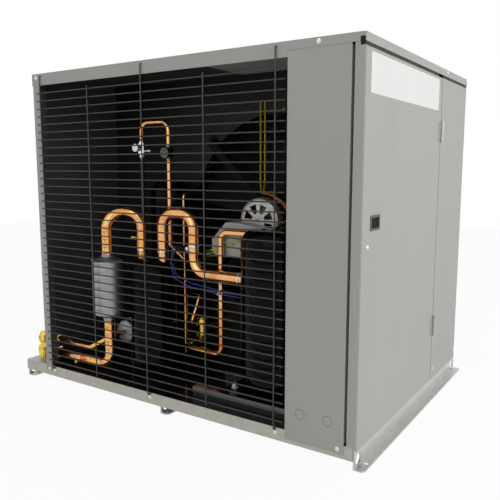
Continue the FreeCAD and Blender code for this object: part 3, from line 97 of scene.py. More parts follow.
# Shader maths
class Num:
    # wraps a number socket, so that ordinary arithmetic adds Math nodes
    def __init__(self, graph, socket):
        self.graph = graph
        self.socket = socket

    def maths(self, operation, first, second):
        node = self.graph.add("ShaderNodeMath", {"operation": operation}, {0: first, 1: second})
        return Num(self.graph, node.outputs[0])

    def __add__(self, other):
        return self.maths("ADD", self, other)

    def __radd__(self, other):
        return self.maths("ADD", other, self)

    def __sub__(self, other):
        return self.maths("SUBTRACT", self, other)

    def __rsub__(self, other):
        return self.maths("SUBTRACT", other, self)

    def __mul__(self, other):
        return self.maths("MULTIPLY", self, other)

    def __rmul__(self, other):
        return self.maths("MULTIPLY", other, self)

    def __gt__(self, other):
        return self.maths("GREATER_THAN", self, other)

    def __lt__(self, other):
        return self.maths("LESS_THAN", self, other)


class Graph:
    # one material: its nodes, its principled shader and the coordinates of its object
    def __init__(self, name):
        self.material = bpy.data.materials.new(name)
        self.material.use_nodes = True
        self.tree = self.material.node_tree
        self.shader = self.tree.nodes["Principled BSDF"]
        self.point = self.add("ShaderNodeTexCoord", {}, {}).outputs["Object"]

    def add(self, kind, settings, sockets):
        # settings come first, because some of them change which sockets the node has
        node = self.tree.nodes.new(kind)
        for key, value in settings.items():
            setattr(node, key, value)
        for key, value in sockets.items():
            self.feed(node.inputs[key], value)
        return node

    def feed(self, socket, value):
        # links what comes from a node, and types in anything else
        if isinstance(value, Num):
            self.tree.links.new(value.socket, socket)
        elif isinstance(value, bpy.types.NodeSocket):
            self.tree.links.new(value, socket)
        else:
            socket.default_value = value

    def stretched(self, x, y, z):
        # coordinates scaled along each axis; a small scale draws the pattern out that way
        return self.add("ShaderNodeMapping", {}, {"Vector": self.point, "Scale": (x, y, z)}).outputs[0]

    def noise(self, scale, detail=3.0, rough=0.5, along=None):
        sockets = {"Vector": along or self.point, "Scale": scale, "Detail": detail, "Roughness": rough}
        return Num(self, self.add("ShaderNodeTexNoise", {}, sockets).outputs["Fac"])

    def grains(self, scale):
        # flat cells, each with its own grey
        cells = self.add("ShaderNodeTexVoronoi", {}, {"Vector": self.point, "Scale": scale})
        split = self.add("ShaderNodeSeparateColor", {}, {0: cells.outputs["Color"]})
        return Num(self, split.outputs[0])

    def axes(self):
        # x, y and z of the point, as three numbers
        split = self.add("ShaderNodeSeparateXYZ", {}, {0: self.point})
        return [Num(self, socket) for socket in split.outputs]

    def between(self, value, low, high):
        # 0 below low, 1 above high, smooth in between
        sockets = {"Value": value, "From Min": low, "From Max": high}
        node = self.add("ShaderNodeMapRange", {"interpolation_type": "SMOOTHSTEP"}, sockets)
        return Num(self, node.outputs[0])

    def mix(self, mask, first, second):
        # first colour where the mask is 0, second where it is 1
        return self.add("ShaderNodeMix", {"data_type": "RGBA"}, {0: mask, 6: first, 7: second}).outputs[2]

    def paint(self, colour, roughness, metallic=0.0, relief=None, depth=0.0003, sheen=0.5):
        # feeds the shader; relief is a height for the bump, and depth is how far it stands out
        self.shader.inputs["Specular IOR Level"].default_value = sheen
        self.feed(self.shader.inputs["Base Color"], colour)
        self.feed(self.shader.inputs["Roughness"], roughness)
        self.feed(self.shader.inputs["Metallic"], metallic)
        if relief is not None:
            bump = self.add("ShaderNodeBump", {}, {"Height": relief, "Strength": 0.6, "Distance": depth})
            self.feed(self.shader.inputs["Normal"], bump.outputs[0])
        return self.material


# Finishes. Painted shade on the sheets' faces that look into the cabinet, and a painted shadow in the gap
# over the door
innerShade = {"leftSkin": 0.7 * mm, "frontSkin": 1.0 * mm, "underLid": 1.3 * mm, "beforeBack": 3 * mm,
             "gapFoot": 0.4 * mm, "gapTop": 20 * mm, "gapSkin": 1.0 * mm, "gapDepth": 14 * mm,
             "gapShadow": tone(20, 20, 20)}


def paintShadeInside(g, colour, insideShade):
    # both masks are boxes: each side is one comparison, and they are multiplied together
    x, y, z = g.axes()
    side = corners("left_side_panel")[0]
    lid = corners("lid")[1]
    back = corners("rear_side_panel")[1][1] - innerShade["beforeBack"]
    # painted shade: the faces that look into the cabinet take a darker colour
    inward = (x > side[0] + innerShade["leftSkin"]) * (x < middle("lid")[0])
    inward = inward * (y > side[1] + innerShade["frontSkin"]) * (y < back)
    inward = inward * (z < lid[2] - innerShade["underLid"])
    # painted shadow: a dark band in the gap over the door
    doorTop = corners("door")[1][2]
    gap = (z > doorTop + innerShade["gapFoot"]) * (z < doorTop + innerShade["gapTop"])
    gap = gap * (x < lid[0] - innerShade["gapSkin"]) * (x > lid[0] - innerShade["gapDepth"])
    return g.mix(gap, g.mix(inward, colour, insideShade), innerShade["gapShadow"])


def bakedPaint(name, colour, gloss, soil, sheen, insideShade=None):
    # satin sheet paint: fine orange peel, broad uneven tone, faint vertical wipe marks and dust specks
    g = Graph(name)
    broad = g.noise(2.2, 4)
    wipe = g.between(g.noise(9, 3, 0.6, g.stretched(1, 1, 0.08)), 0.45, 0.8)
    specks = g.between(g.noise(160, 2), 0.66, 0.74)
    base = g.mix(broad, shade(colour, 1 - soil), shade(colour, 1 + soil * 0.6))
    marked = g.mix(wipe * 0.10, base, shade(colour, 0.72))
    dustAndShade = g.mix(specks * 0.10, marked, shade(colour, 1.4))
    # painted shade inside the cabinet and painted shadow over the door, laid over the dust specks
    if insideShade is not None:
        dustAndShade = paintShadeInside(g, dustAndShade, insideShade)
    return g.paint(dustAndShade, gloss + broad * 0.10 + wipe * 0.06, 0.0, g.noise(900, 2), 0.00008, sheen)


def zincCoat(name, colour, cell, metallic=0.7, contrast=1.0):
    # hot-dip zinc: faint spangle cells that differ a little in tone and gloss, with dull streaks
    g = Graph(name)
    cells = g.grains(cell)
    small = g.grains(cell * 2.7)
    dull = g.between(g.noise(7, 5, 0.6, g.stretched(0.6, 0.6, 1.6)), 0.42, 0.72)
    darkest = shade(colour, 1 - 0.09 * contrast)
    lightest = shade(colour, 1 + 0.06 * contrast)
    tarnish = g.mix(dull * 0.35, g.mix(cells * 0.5 + small * 0.5, darkest, lightest), shade(colour, 0.8))
    rough = 0.32 + cells * (0.05 * contrast) + dull * 0.10
    return g.paint(tarnish, rough, metallic, small * 0.3 + g.noise(120) * 0.3, 0.00002)


# The leg of the thin copper line that hangs under the solenoid valve, drawn dark and dull
darkLeg = {"fromLeft": 14.7 * mm, "reach": 14 * mm, "length": 520 * mm, "beforeBack": 30 * mm,
           "tone": tone(30, 29, 28)}


def maskLeg(g):
    # a box below the valve, 1 inside and 0 outside
    x, y, z = g.axes()
    low, high = corners("solenoid_valve")
    place = low[0] + darkLeg["fromLeft"]
    leg = (z < low[2]) * (z > low[2] - darkLeg["length"]) * (y > high[1] - darkLeg["beforeBack"])
    return leg * (x > place - darkLeg["reach"]) * (x < place + darkLeg["reach"])


def drawnCopper(name, withDarkLeg=False):
    # drawn tube: golden-orange metal with pinkish lights, tan oxide clouds, straw heat tint at brazes,
    # and on the low runs scorched and yellowed patches
    g = Graph(name)
    clouds = g.between(g.noise(11, 6, 0.62), 0.50, 0.74)
    heat = g.between(g.noise(5.5, 3, 0.5), 0.46, 0.66)
    lines = g.noise(240, 2, 0.5, g.stretched(1, 1, 0.15))
    bright = g.mix(lines * 0.4, tone(252, 190, 128), tone(242, 166, 94))
    browned = g.mix(clouds * 0.5, bright, tone(186, 92, 50))
    straw = g.mix(heat * 0.55, browned, tone(232, 172, 72))
    low = 1 - g.between(g.axes()[2], 0.20, 0.30)
    scorch = g.between(g.noise(9, 2, 0.4, g.stretched(2.2, 0.6, 0.6)), 0.50, 0.60)
    gold = g.between(g.noise(13, 2, 0.4, g.stretched(1.6, 0.6, 0.6)), 0.52, 0.62)
    reddened = g.mix(low * scorch * 0.75, straw, tone(206, 76, 34))
    colour = g.mix(low * gold * 0.70, reddened, tone(240, 196, 66))
    rough = 0.19 + clouds * 0.14 + lines * 0.03
    shine = 1.0
    if withDarkLeg:
        leg = maskLeg(g)
        colour = g.mix(leg, colour, darkLeg["tone"])
        shine = 1 - leg * 0.8
        rough = rough + leg * 0.15
    return g.paint(colour, rough, shine)


def machinedBrass(name):
    # turned and forged brass with duller patches
    g = Graph(name)
    dull = g.between(g.noise(60, 4), 0.4, 0.7)
    turned = g.noise(700, 2, 0.5, g.stretched(0.1, 1, 1))
    base = g.mix(dull, tone(232, 198, 84), tone(186, 146, 52))
    return g.paint(base, 0.24 + dull * 0.18, 1.0, turned, 0.00008)


def brushedSteel(name, colour, roughness, stretch=(1, 1, 0.04)):
    # long fine scratches one way, with soft cloudy tone
    g = Graph(name)
    hair = g.noise(420, 4, 0.6, g.stretched(*stretch))
    cloud = g.noise(14, 3)
    base = g.mix(hair * 0.6 + cloud * 0.4, shade(colour, 0.80), shade(colour, 1.15))
    return g.paint(base, roughness + hair * 0.12 + cloud * 0.06, 1.0, hair, 0.00008)


def castMetal(name, colour, metallic=0.9):
    # sand or die casting: pebbled skin with darker pits
    g = Graph(name)
    pits = g.between(g.noise(260, 5, 0.65), 0.42, 0.62)
    cloud = g.noise(20, 3)
    base = g.mix(pits * 0.7 + cloud * 0.3, shade(colour, 0.62), shade(colour, 1.08))
    return g.paint(base, 0.50 - pits * 0.12 + cloud * 0.06, metallic, pits, 0.0003)


def glossEnamel(name, colour, gloss=0.07, sheen=0.07):
    # thick black enamel: very soft sags in the coat and thin dust that dulls it in places
    g = Graph(name)
    sag = g.noise(9, 2, 0.4, g.stretched(1, 1, 0.5))
    dust = g.between(g.noise(120, 5, 0.7), 0.60, 0.86)
    base = g.mix(dust * 0.06, colour, tone(60, 57, 53))
    return g.paint(base, gloss + dust * 0.12 + sag * 0.04, 0.0, sag, 0.0001, sheen)


def mouldedPlastic(name, colour, roughness=0.45, sheen=0.5):
    # spark-eroded mould grain and faint flow marks
    g = Graph(name)
    grain = g.noise(1400, 2)
    flow = g.noise(16, 3)
    base = g.mix(flow, shade(colour, 0.88), shade(colour, 1.10))
    return g.paint(base, roughness + flow * 0.08, 0.0, grain, 0.00005, sheen)


def woundCopper(name):
    # enamelled wire wound round: fine rings along the winding, dark varnish in the valleys
    g = Graph(name)
    rings = g.noise(500, 1, 0.5, g.stretched(0.1, 1.0, 1.0))
    base = g.mix(rings, tone(96, 42, 20), tone(190, 98, 48))
    return g.paint(base, 0.30 + rings * 0.1, 0.8, rings, 0.0004)


def stackedSheets(name):
    # laminated iron: thin edge lines with a rusty tint in places
    g = Graph(name)
    edges = g.noise(900, 1, 0.5, g.stretched(0.02, 1.0, 0.02))
    rust = g.between(g.noise(30, 4), 0.55, 0.75)
    base = g.mix(edges, tone(70, 70, 72), tone(150, 150, 152))
    rusted = g.mix(rust * 0.35, base, tone(110, 70, 46))
    return g.paint(rusted, 0.42 + rust * 0.2, 0.9, edges, 0.0002)


# Where the pan counts as the floor inside the cabinet
panFloor = {"below": 2.5 * mm, "frontSkin": 1 * mm}


def floorPan(name):
    # bare zinc outside the cabinet; the floor inside is drawn dark as painted shade, cloudy and mirror-like
    g = Graph(name)
    x, y, z = g.axes()
    front = corners("left_side_panel")[0]
    back = corners("rear_side_panel")[1][1]
    inside = (z > -panFloor["below"]) * (x > front[0])
    inside = inside * (y > front[1] + panFloor["frontSkin"]) * (y < back)
    cells = g.grains(70)
    film = g.noise(6, 4, 0.6)
    zinc = g.mix(cells, tone(174, 172, 163), tone(182, 180, 172))
    # painted shade: two dark tones for the floor inside the cabinet
    paintedFloorShade = g.mix(film, tone(30, 30, 31), tone(58, 57, 55))
    rough = (0.38 + cells * 0.03) * (1 - inside) + (0.06 + film * 0.10) * inside
    return g.paint(g.mix(inside, zinc, paintedFloorShade), rough, 0.55, g.noise(40), 0.00004)


# Where one pair of leads ends and the next begins, from the compressor's, the motor's and the bell's places
leadPlaces = {"behindShell": 30 * mm, "underMotor": 20 * mm, "bendStart": 16 * mm, "bendEnd": 22 * mm}


def leadSleeve(name):
    # insulation coloured by where each pair of leads runs: orange turning yellow to the motor,
    # blue to the switch, green and yellow to ground
    g = Graph(name)
    y, z = g.axes()[1:]
    frontal = y < middle("compressor_shell")[1] + leadPlaces["behindShell"]
    upper = z > middle("fan_motor")[2] - leadPlaces["underMotor"]
    crown = corners("motor_end_bell")[1][2]
    upright = g.between(z, crown + leadPlaces["bendStart"], crown + leadPlaces["bendEnd"])
    power = g.mix(upright, tone(226, 128, 22), tone(214, 178, 28))
    earth = g.mix(g.between(g.noise(70, 1), 0.48, 0.52), tone(34, 120, 52), tone(206, 196, 44))
    low = g.mix(frontal, earth, tone(26, 52, 150))
    return g.paint(g.mix(upper, low, power), 0.38 + g.noise(300) * 0.1, 0.0, g.noise(500), 0.0001)


def finFoil(name):
    # thin aluminium foil: silver with a faint oily blue and straw, and patches of dust
    g = Graph(name)
    film = g.noise(12, 4)
    lint = g.between(g.noise(30, 5, 0.7), 0.55, 0.8)
    base = g.mix(film, tone(196, 200, 204), tone(222, 220, 214))
    dusted = g.mix(lint * 0.25, base, tone(140, 136, 126))
    return g.paint(dusted, 0.36 + lint * 0.2, 0.7, g.noise(400), 0.0001)


def vinylLabel(name):
    # bare white film, slightly glossy, with a fine paper-like tooth
    g = Graph(name)
    cloud = g.noise(8, 3)
    colour = g.mix(cloud, tone(236, 236, 234), tone(244, 244, 242))
    return g.paint(colour, 0.30 + cloud * 0.08, 0.0, g.noise(1200, 2), 0.00005)


# Radii of the rings in the sight glass's window, in millimetres, and how deep the window reaches
sightRings = {"window": 13, "moat": 10, "eye": 6, "depth": 5 * mm}


def sightFace(name):
    # dull steel body; the window is told by its distance from the axis squared, in square millimetres:
    # bright rim, dark moat, pale eye under glass
    g = Graph(name)
    x, y, z = g.axes()
    eye = middle("sight_glass")
    across = x - eye[0]
    rise = z - eye[2]
    reach = (across * across + rise * rise) * 1e6
    window = (reach < sightRings["window"] ** 2) * (y < corners("sight_glass")[0][1] + sightRings["depth"])
    moat = (reach > sightRings["eye"] ** 2) * (reach < sightRings["moat"] ** 2)
    hair = g.noise(420, 4)
    steel = g.mix(hair, tone(74, 74, 75), tone(112, 112, 113))
    glass = g.mix(moat, tone(128, 130, 124), tone(20, 21, 20))
    rough = (0.30 + hair * 0.1) * (1 - window) + window * 0.06
    return g.paint(g.mix(window, steel, glass), rough, 1 - window)


def brazeMetal(name):
    # silver solder over scorched copper
    g = Graph(name)
    burnt = g.between(g.noise(90, 5, 0.6), 0.4, 0.62)
    base = g.mix(burnt, tone(214, 176, 128), tone(104, 60, 42))
    return g.paint(base, 0.30 + burnt * 0.25, 1.0, g.noise(240, 4), 0.0005)


def rubberSkin(name):
    # matt black rubber with a cloudy grey bloom
    g = Graph(name)
    bloom = g.noise(60, 4)
    colour = g.mix(bloom, tone(22, 22, 22), tone(52, 51, 49))
    return g.paint(colour, 0.62 + bloom * 0.12, 0.0, g.noise(700), 0.0002)


# Each finish: what makes it, and the values it is made with
recipes = {
    # the panel paint's last colour is the painted shade on the faces inside the cabinet
    "panelPaint": (bakedPaint, tone(183, 183, 178), 0.42, 0.08, 0.18, tone(74, 74, 75)),
    # painted shade: the bulkhead takes a near-black colour for the shade inside the cabinet
    "wallPaint": (bakedPaint, tone(31, 31, 30), 0.34, 0.2, 0.2),
    "strutPaint": (bakedPaint, tone(14, 14, 14), 0.5, 0.2, 0.1),
    "guardCoat": (bakedPaint, tone(56, 56, 53), 0.34, 0.2, 0.4),
    "motorPaint": (bakedPaint, tone(38, 38, 39), 0.34, 0.2, 0.35),
    "zincRail": (zincCoat, tone(206, 207, 204), 70, 0.55, 0.4),
    "zincBox": (zincCoat, tone(196, 198, 197), 90, 0.6, 0.7),
    "zincBolt": (zincCoat, tone(214, 214, 212), 400),
    "hingeSteel": (zincCoat, tone(186, 187, 184), 200, 0.55, 0.5),
    "copper": (drawnCopper,),
    "lineCopper": (drawnCopper, True),
    "machinedBrass": (machinedBrass,),
    "canSteel": (brushedSteel, tone(160, 162, 164), 0.34),
    "shaftSteel": (brushedSteel, tone(170, 170, 172), 0.26, (0.04, 1, 1)),
    "brightSteel": (brushedSteel, tone(228, 228, 230), 0.16),
    "bladeMetal": (brushedSteel, tone(30, 31, 32), 0.5, (1, 0.1, 1)),
    "sightFace": (sightFace,),
    "castAlloy": (castMetal, tone(196, 196, 192)),
    "castIron": (castMetal, tone(96, 94, 92), 0.7),
    "enamel": (glossEnamel, tone(11, 11, 12)),
    "skidEnamel": (glossEnamel, tone(15, 15, 16), 0.10, 0.9),
    "boxPlastic": (mouldedPlastic, tone(188, 190, 186)),
    "blackPlastic": (mouldedPlastic, tone(16, 16, 17), 0.5, 0.1),
    "latchPlastic": (mouldedPlastic, tone(92, 94, 94), 0.45, 0.3),
    "devicePlastic": (mouldedPlastic, tone(74, 74, 72), 0.5),
    "tieNylon": (mouldedPlastic, tone(232, 231, 226), 0.4),
    # painted shade for the knockouts' grooves
    "groove": (mouldedPlastic, tone(112, 112, 108), 0.6, 0.1),
    "woundCopper": (woundCopper,),
    "stackedSheets": (stackedSheets,),
    "floorPan": (floorPan,),
    "leadSleeve": (leadSleeve,),
    "finFoil": (finFoil,),
    "vinylLabel": (vinylLabel,),
    "brazeMetal": (brazeMetal,),
    "rubberSkin": (rubberSkin,),
}
finishes = {name: make(name, *values) for name, (make, *values) in recipes.items()}

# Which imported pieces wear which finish
wearing = {
    "panelPaint": ["left_side_panel", "frame_posts", "rear_side_panel", "lid", "control_cover", "door"],
    # the bulkhead wears the painted shade
    "wallPaint": ["fan_bulkhead"],
    "strutPaint": ["motor_mount"],
    "guardCoat": ["wire_guard"],
    "motorPaint": ["fan_motor"],
    "zincRail": ["base_rails", "coil_end_plates"],
    "zincBox": ["control_box"],
    "zincBolt": ["cabinet_screws", "compressor_bolts"],
    "hingeSteel": ["hinge_door_leaves", "hinge_frame_leaves"],
    "copper": ["coil_tubes", "accumulator_u_tube", "suction_pipes", "discharge_pipes"],
    "lineCopper": ["liquid_pipes"],
    "machinedBrass": ["head_pressure_valve", "access_valves", "service_valve_bodies", "suction_valve_cap",
                      "liquid_valve_cap"],
    "canSteel": ["suction_filter", "filter_drier"],
    "shaftSteel": ["fan_shaft", "compressor_crankshaft", "suction_valve_stem", "liquid_valve_stem"],
    "brightSteel": ["door_screw", "solenoid_valve"],
    "bladeMetal": ["fan_blade"],
    "sightFace": ["sight_glass"],
    "castAlloy": ["motor_end_bell"],
    "castIron": ["bearing_frames", "orbiting_scroll", "fixed_scroll"],
    "enamel": ["compressor_shell", "suction_accumulator", "liquid_receiver"],
    "skidEnamel": ["compressor_rails"],
    "boxPlastic": ["terminal_box"],
    "blackPlastic": ["pressure_switch", "latch_paddle"],
    "latchPlastic": ["latch_housing"],
    "devicePlastic": ["contactor", "contactor_carrier", "terminal_strip", "pressure_control"],
    "woundCopper": ["motor_windings"],
    "stackedSheets": ["motor_rotor", "compressor_stator"],
    "floorPan": ["base_pan"],
    "leadSleeve": ["wiring_leads"],
    "finFoil": ["coil_fins"],
    "rubberSkin": ["compressor_grommets"],
}
for finish, names in wearing.items():
    for name in names:
        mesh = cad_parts[name].data
        mesh.materials.clear()
        mesh.materials.append(finishes[finish])
unfinished = set(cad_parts) - {name for names in wearing.values() for name in names}
print("finishes made:", len(finishes), "pieces without one:", sorted(unfinished))


# Surfaces
def addPiece(name, points, faces, finish, body, smooth=True):
    # puts arrays of points and faces into a mesh and sets it riding
    mesh = bpy.data.meshes.new(name)
    mesh.from_pydata(points.reshape(-1, 3).tolist(), [], faces)
    mesh.materials.append(finishes[finish])
    mesh.polygons.foreach_set("use_smooth", np.full(len(mesh.polygons), smooth))
    mesh.update()
    piece = bpy.data.objects.new(name, mesh)
    bpy.context.scene.collection.objects.link(piece)
    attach(piece, body)
    return piece


def wrapFaces(rows, columns, wrapRows=False):
    # quads between neighbours of a grid; columns close on themselves, and rows may
    r, c = np.meshgrid(np.arange(rows if wrapRows else rows - 1), np.arange(columns), indexing="ij")
    r2 = (r + 1) % rows
    c2 = (c + 1) % columns
    quads = np.stack([r * columns + c, r * columns + c2, r2 * columns + c2, r2 * columns + c], -1)
    return quads.reshape(-1, 4)


def axisFrame(direction):
    # three unit vectors, the last along the direction
    ahead = np.array(direction, float) / np.linalg.norm(direction)
    helper = np.array([0.0, 0.0, 1.0]) if abs(ahead[2]) < 0.9 else np.array([1.0, 0.0, 0.0])
    across = np.cross(helper, ahead)
    across /= np.linalg.norm(across)
    return across, np.cross(ahead, across), ahead


def turnedRing(centre, direction, profile, sides=48, ripple=0.0, waves=0):
    # point = centre + (r + ripple sin(waves t)) (cos t, sin t) across + h ahead,
    # for each (r, h) of a closed profile and each angle t, which runs backwards so that faces point outwards
    across, upright, ahead = axisFrame(direction)
    angle = np.linspace(0, -2 * np.pi, sides, endpoint=False)[:, None]
    radius = profile[None, :, 0] + ripple * np.sin(waves * angle)
    rim = np.cos(angle)[..., None] * across + np.sin(angle)[..., None] * upright
    return np.array(centre) + radius[..., None] * rim + profile[None, :, 1, None] * ahead


def addRings(name, rings, finish, body, smooth=True):
    # joins several closed ring grids into one piece
    points = np.concatenate([grid.reshape(-1, 3) for grid in rings])
    sizes = [grid.shape[0] * grid.shape[1] for grid in rings]
    starts = np.cumsum([0] + sizes[:-1])
    faces = np.concatenate([wrapFaces(*grid.shape[:2], True) + start for grid, start in zip(rings, starts)])
    addPiece(name, points, faces.tolist(), finish, body, smooth)


upward = (0, 0, 1)
downward = (0, 0, -1)
frontward = (0, -1, 0)

# Welds that close the compressor and the two vessels; heights are shares of each shell's height
weldBead = {"width": 7 * mm, "height": 1.8 * mm, "sink": 0.4, "steps": 10, "ripple": 0.35 * mm, "waves": 60,
            "sides": 180, "shellWall": 4 * mm, "accumulator": 77 * mm, "receiver": 70 * mm,
            "shellHeights": (0.12, 0.86), "vesselHeights": (0.14, 0.86)}


def beadProfile(radius):
    # closed oval cross-section on a cylinder of that radius, flatter on the side that sinks in
    t = np.linspace(0, 2 * np.pi, weldBead["steps"], endpoint=False)
    outward = np.cos(t) * (np.cos(t) > 0)
    inward = weldBead["sink"] * (np.cos(t) < 0)
    return np.stack([radius + weldBead["height"] * (outward - inward), weldBead["width"] / 2 * np.sin(t)], 1)


def makeWelds():
    # a rippled bead turned round each shell at each of its heights
    low, high = corners("compressor_stator")
    shellRadius = (high[0] - low[0]) / 2 + weldBead["shellWall"]
    seams = [
        ("compressor_stator", "compressor_shell", shellRadius, weldBead["shellHeights"]),
        ("suction_accumulator", "suction_accumulator", weldBead["accumulator"], weldBead["vesselHeights"]),
        ("liquid_receiver", "liquid_receiver", weldBead["receiver"], weldBead["vesselHeights"]),
    ]
    rings = []
    for core, shell, radius, heights in seams:
        centre = middle(core)
        bottom, top = corners(shell)
        for share in heights:
            centre[2] = bottom[2] + share * (top[2] - bottom[2])
            rings.append(turnedRing(centre, upward, beadProfile(radius), weldBead["sides"],
                                    weldBead["ripple"], weldBead["waves"]))
    addRings("weldBeads", rings, "enamel", "cabinet")


makeWelds()
print("welds added")


# Condenser fins: each foil is a strip that ripples across its depth
finSheet = {"count": 560, "thickness": 0.3 * mm, "ripple": 0.75 * mm, "halfWaves": 3, "steps": 7}


def makeFins():
    # x = place + ripple sin(pi halfWaves v) plus or minus half a thickness,
    # y goes along the depth with v, z is the bottom or the top
    low, high = corners("coil_fins")
    v = np.linspace(0, 1, finSheet["steps"])
    wave = finSheet["ripple"] * np.sin(np.pi * finSheet["halfWaves"] * v)
    half = finSheet["thickness"] / 2
    across = np.concatenate([wave + half, (wave - half)[::-1]])
    depth = low[1] + (high[1] - low[1]) * np.concatenate([v, v[::-1]])
    inset = finSheet["ripple"] + half
    places = np.linspace(low[0] + inset, high[0] - inset, finSheet["count"])
    sides = len(across)
    x = np.broadcast_to(places[:, None, None] + across[None, None, :], (len(places), 2, sides))
    y = np.broadcast_to(depth[None, None, :], x.shape)
    z = np.broadcast_to(np.array([low[2], high[2]])[None, :, None], x.shape)
    points = np.stack([x, y, z], -1)
    starts = (np.arange(len(places)) * 2 * sides)[:, None, None]
    faces = (wrapFaces(2, sides)[None] + starts).reshape(-1, 4).tolist()
    ends = np.stack([np.arange(sides)[::-1], np.arange(sides) + sides])
    faces += (ends[None] + starts).reshape(-1, sides).tolist()
    piece = addPiece("finStack", points, faces, "finFoil", "cabinet", False)
    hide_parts("coil_fins")


makeFins()
print("fins added")


# Copper tubes, and the accumulator's two pipes measured along X from its middle
tubes = {"suction": 17.45 * mm, "liquid": 7.95 * mm, "vesselInlet": -50 * mm, "vesselOutlet": 44 * mm}

# Brazed joints: a small fillet of solder where each tube enters a fitting
brazeFillet = {"rise": 1.6 * mm, "length": 7 * mm, "sink": 0.3 * mm, "sides": 36,
               "lengthShares": [0, 0.25, 0.6, 1.0], "riseShares": [1.0, 0.75, 0.30, 0.05],
               "filterRadius": 51 * mm, "sightRadius": 15 * mm, "valveHalfWidth": 14.7 * mm,
               "valveHalfDepth": 17 * mm}


def filletProfile(radius):
    # wide where the tube goes in and fading to the tube's own radius
    h = np.array(brazeFillet["lengthShares"]) * brazeFillet["length"]
    r = radius + brazeFillet["rise"] * np.array(brazeFillet["riseShares"])
    outer = np.stack([r, h], 1)
    inner = np.stack([np.full(2, radius - brazeFillet["sink"]), np.array([h[-1], 0])], 1)
    return np.concatenate([outer, inner])


def makeFillets():
    # the profile turned round each tube's axis, once above and once below each fitting
    filterLow, filterHigh = corners("suction_filter")
    filterX, filterY = filterHigh[:2] - brazeFillet["filterRadius"]
    sightLow, sightHigh = corners("sight_glass")
    valveLow, valveHigh = corners("solenoid_valve")
    fittings = [
        (filterX, filterY, filterLow[2], filterHigh[2], tubes["suction"]),
        (middle("sight_glass")[0], sightHigh[1] - brazeFillet["sightRadius"], sightLow[2], sightHigh[2],
         tubes["liquid"]),
        (valveLow[0] + brazeFillet["valveHalfWidth"], valveHigh[1] - brazeFillet["valveHalfDepth"],
         valveLow[2], valveHigh[2], tubes["liquid"]),
    ]
    joints = [((x, y, top), upward, radius) for x, y, bottom, top, radius in fittings]
    joints += [((x, y, bottom), downward, radius) for x, y, bottom, top, radius in fittings]
    vessel = middle("suction_accumulator")
    crown = corners("suction_accumulator")[1][2]
    joints += [((vessel[0] + tubes[port], vessel[1], crown), upward, tubes["suction"])
               for port in ("vesselInlet", "vesselOutlet")]
    rings = [turnedRing(place, way, filletProfile(radius), brazeFillet["sides"])
             for place, way, radius in joints]
    addRings("brazeFillets", rings, "brazeMetal", "cabinet")


makeFillets()
print("brazed joints added")


# Bands of bright solder round the suction line
solderBand = {"width": 7.4 * mm, "proud": 1.25 * mm, "sink": 0.2 * mm, "chamfer": 0.3 * mm,
              "overlap": 0.2 * mm, "ripple": 0.15 * mm, "waves": 9, "sides": 64, "aboveVessel": 18 * mm,
              "loopLeg": 173 * mm, "belowLoop": 105 * mm, "beforeShell": 22 * mm, "lineHeight": 421 * mm}


def makeBands():
    # closed ring with bevelled edges whose radius waves a little, at each soldered socket
    tube = tubes["suction"]
    outer = tube + solderBand["proud"]
    edge = outer - solderBand["chamfer"]
    inner = tube - solderBand["sink"]
    start = -solderBand["overlap"]
    width = solderBand["width"]
    profile = np.array([[inner, start], [edge, start], [outer, width * 0.2], [outer, width * 0.8],
                        [edge, width], [inner, width]])
    vessel = middle("suction_accumulator")
    crown = corners("suction_accumulator")[1][2] + solderBand["aboveVessel"]
    loopTop = corners("suction_pipes")[1][2] - tube
    shellLow, shellHigh = corners("compressor_shell")
    shellSide = middle("compressor_stator")[0] - (shellHigh[1] - shellLow[1]) / 2
    spots = [
        ((vessel[0] + tubes["vesselInlet"], vessel[1], crown), upward),
        ((vessel[0] + tubes["vesselOutlet"], vessel[1], crown), upward),
        ((vessel[0] + solderBand["loopLeg"], vessel[1], loopTop - solderBand["belowLoop"]), upward),
        ((shellSide - solderBand["beforeShell"], vessel[1], solderBand["lineHeight"]), (-1, 0, 0)),
    ]
    rings = [turnedRing(place, way, profile, solderBand["sides"], solderBand["ripple"], solderBand["waves"])
             for place, way in spots]
    addRings("solderBands", rings, "brightSteel", "cabinet")


makeBands()
print("solder bands added")


# Bright nuts where the pressure switch screws on to its tube; start is measured back from the switch's end
flareNut = {"bevel": 1.4 * mm, "bore": 4 * mm,
            "main": {"radius": 8.2 * mm, "height": 9 * mm, "start": 14.5 * mm},
            "lock": {"radius": 6.8 * mm, "height": 4.6 * mm, "start": 5.2 * mm}}


def makeNuts():
    # six-sided rings: rows are the six corners, columns a profile with bevelled edges
    low, high = corners("pressure_switch")
    line = (low + high) / 2
    inner = flareNut["bore"]
    bevel = flareNut["bevel"]
    rings = []
    for nut in (flareNut["main"], flareNut["lock"]):
        outer = nut["radius"]
        height = nut["height"]
        profile = np.array([[inner, 0], [outer - bevel, 0], [outer, bevel], [outer, height - bevel],
                            [outer - bevel, height], [inner, height]])
        rings.append(turnedRing((high[0] - nut["start"], line[1], line[2]), (1, 0, 0), profile, 6))
    addRings("switchNuts", rings, "brightSteel", "cabinet", False)


makeNuts()
print("nuts added")


# Cable tie round the pair of switch leads; the tail's pairs are its shares at the root and at the tip
cableTie = {"fromVessel": (0.296, -0.0316), "height": 0.3784, "long": 9.6 * mm, "short": 3.4 * mm,
            "lean": 36.0, "width": 4.6 * mm, "thick": 1.1 * mm, "sides": 40, "tail": 11 * mm, "tailSteps": 5,
            "tailWidth": (0.9, 0.6), "tailThick": (2.6, 1.0), "tailSink": 0.2, "tailBend": 0.4}


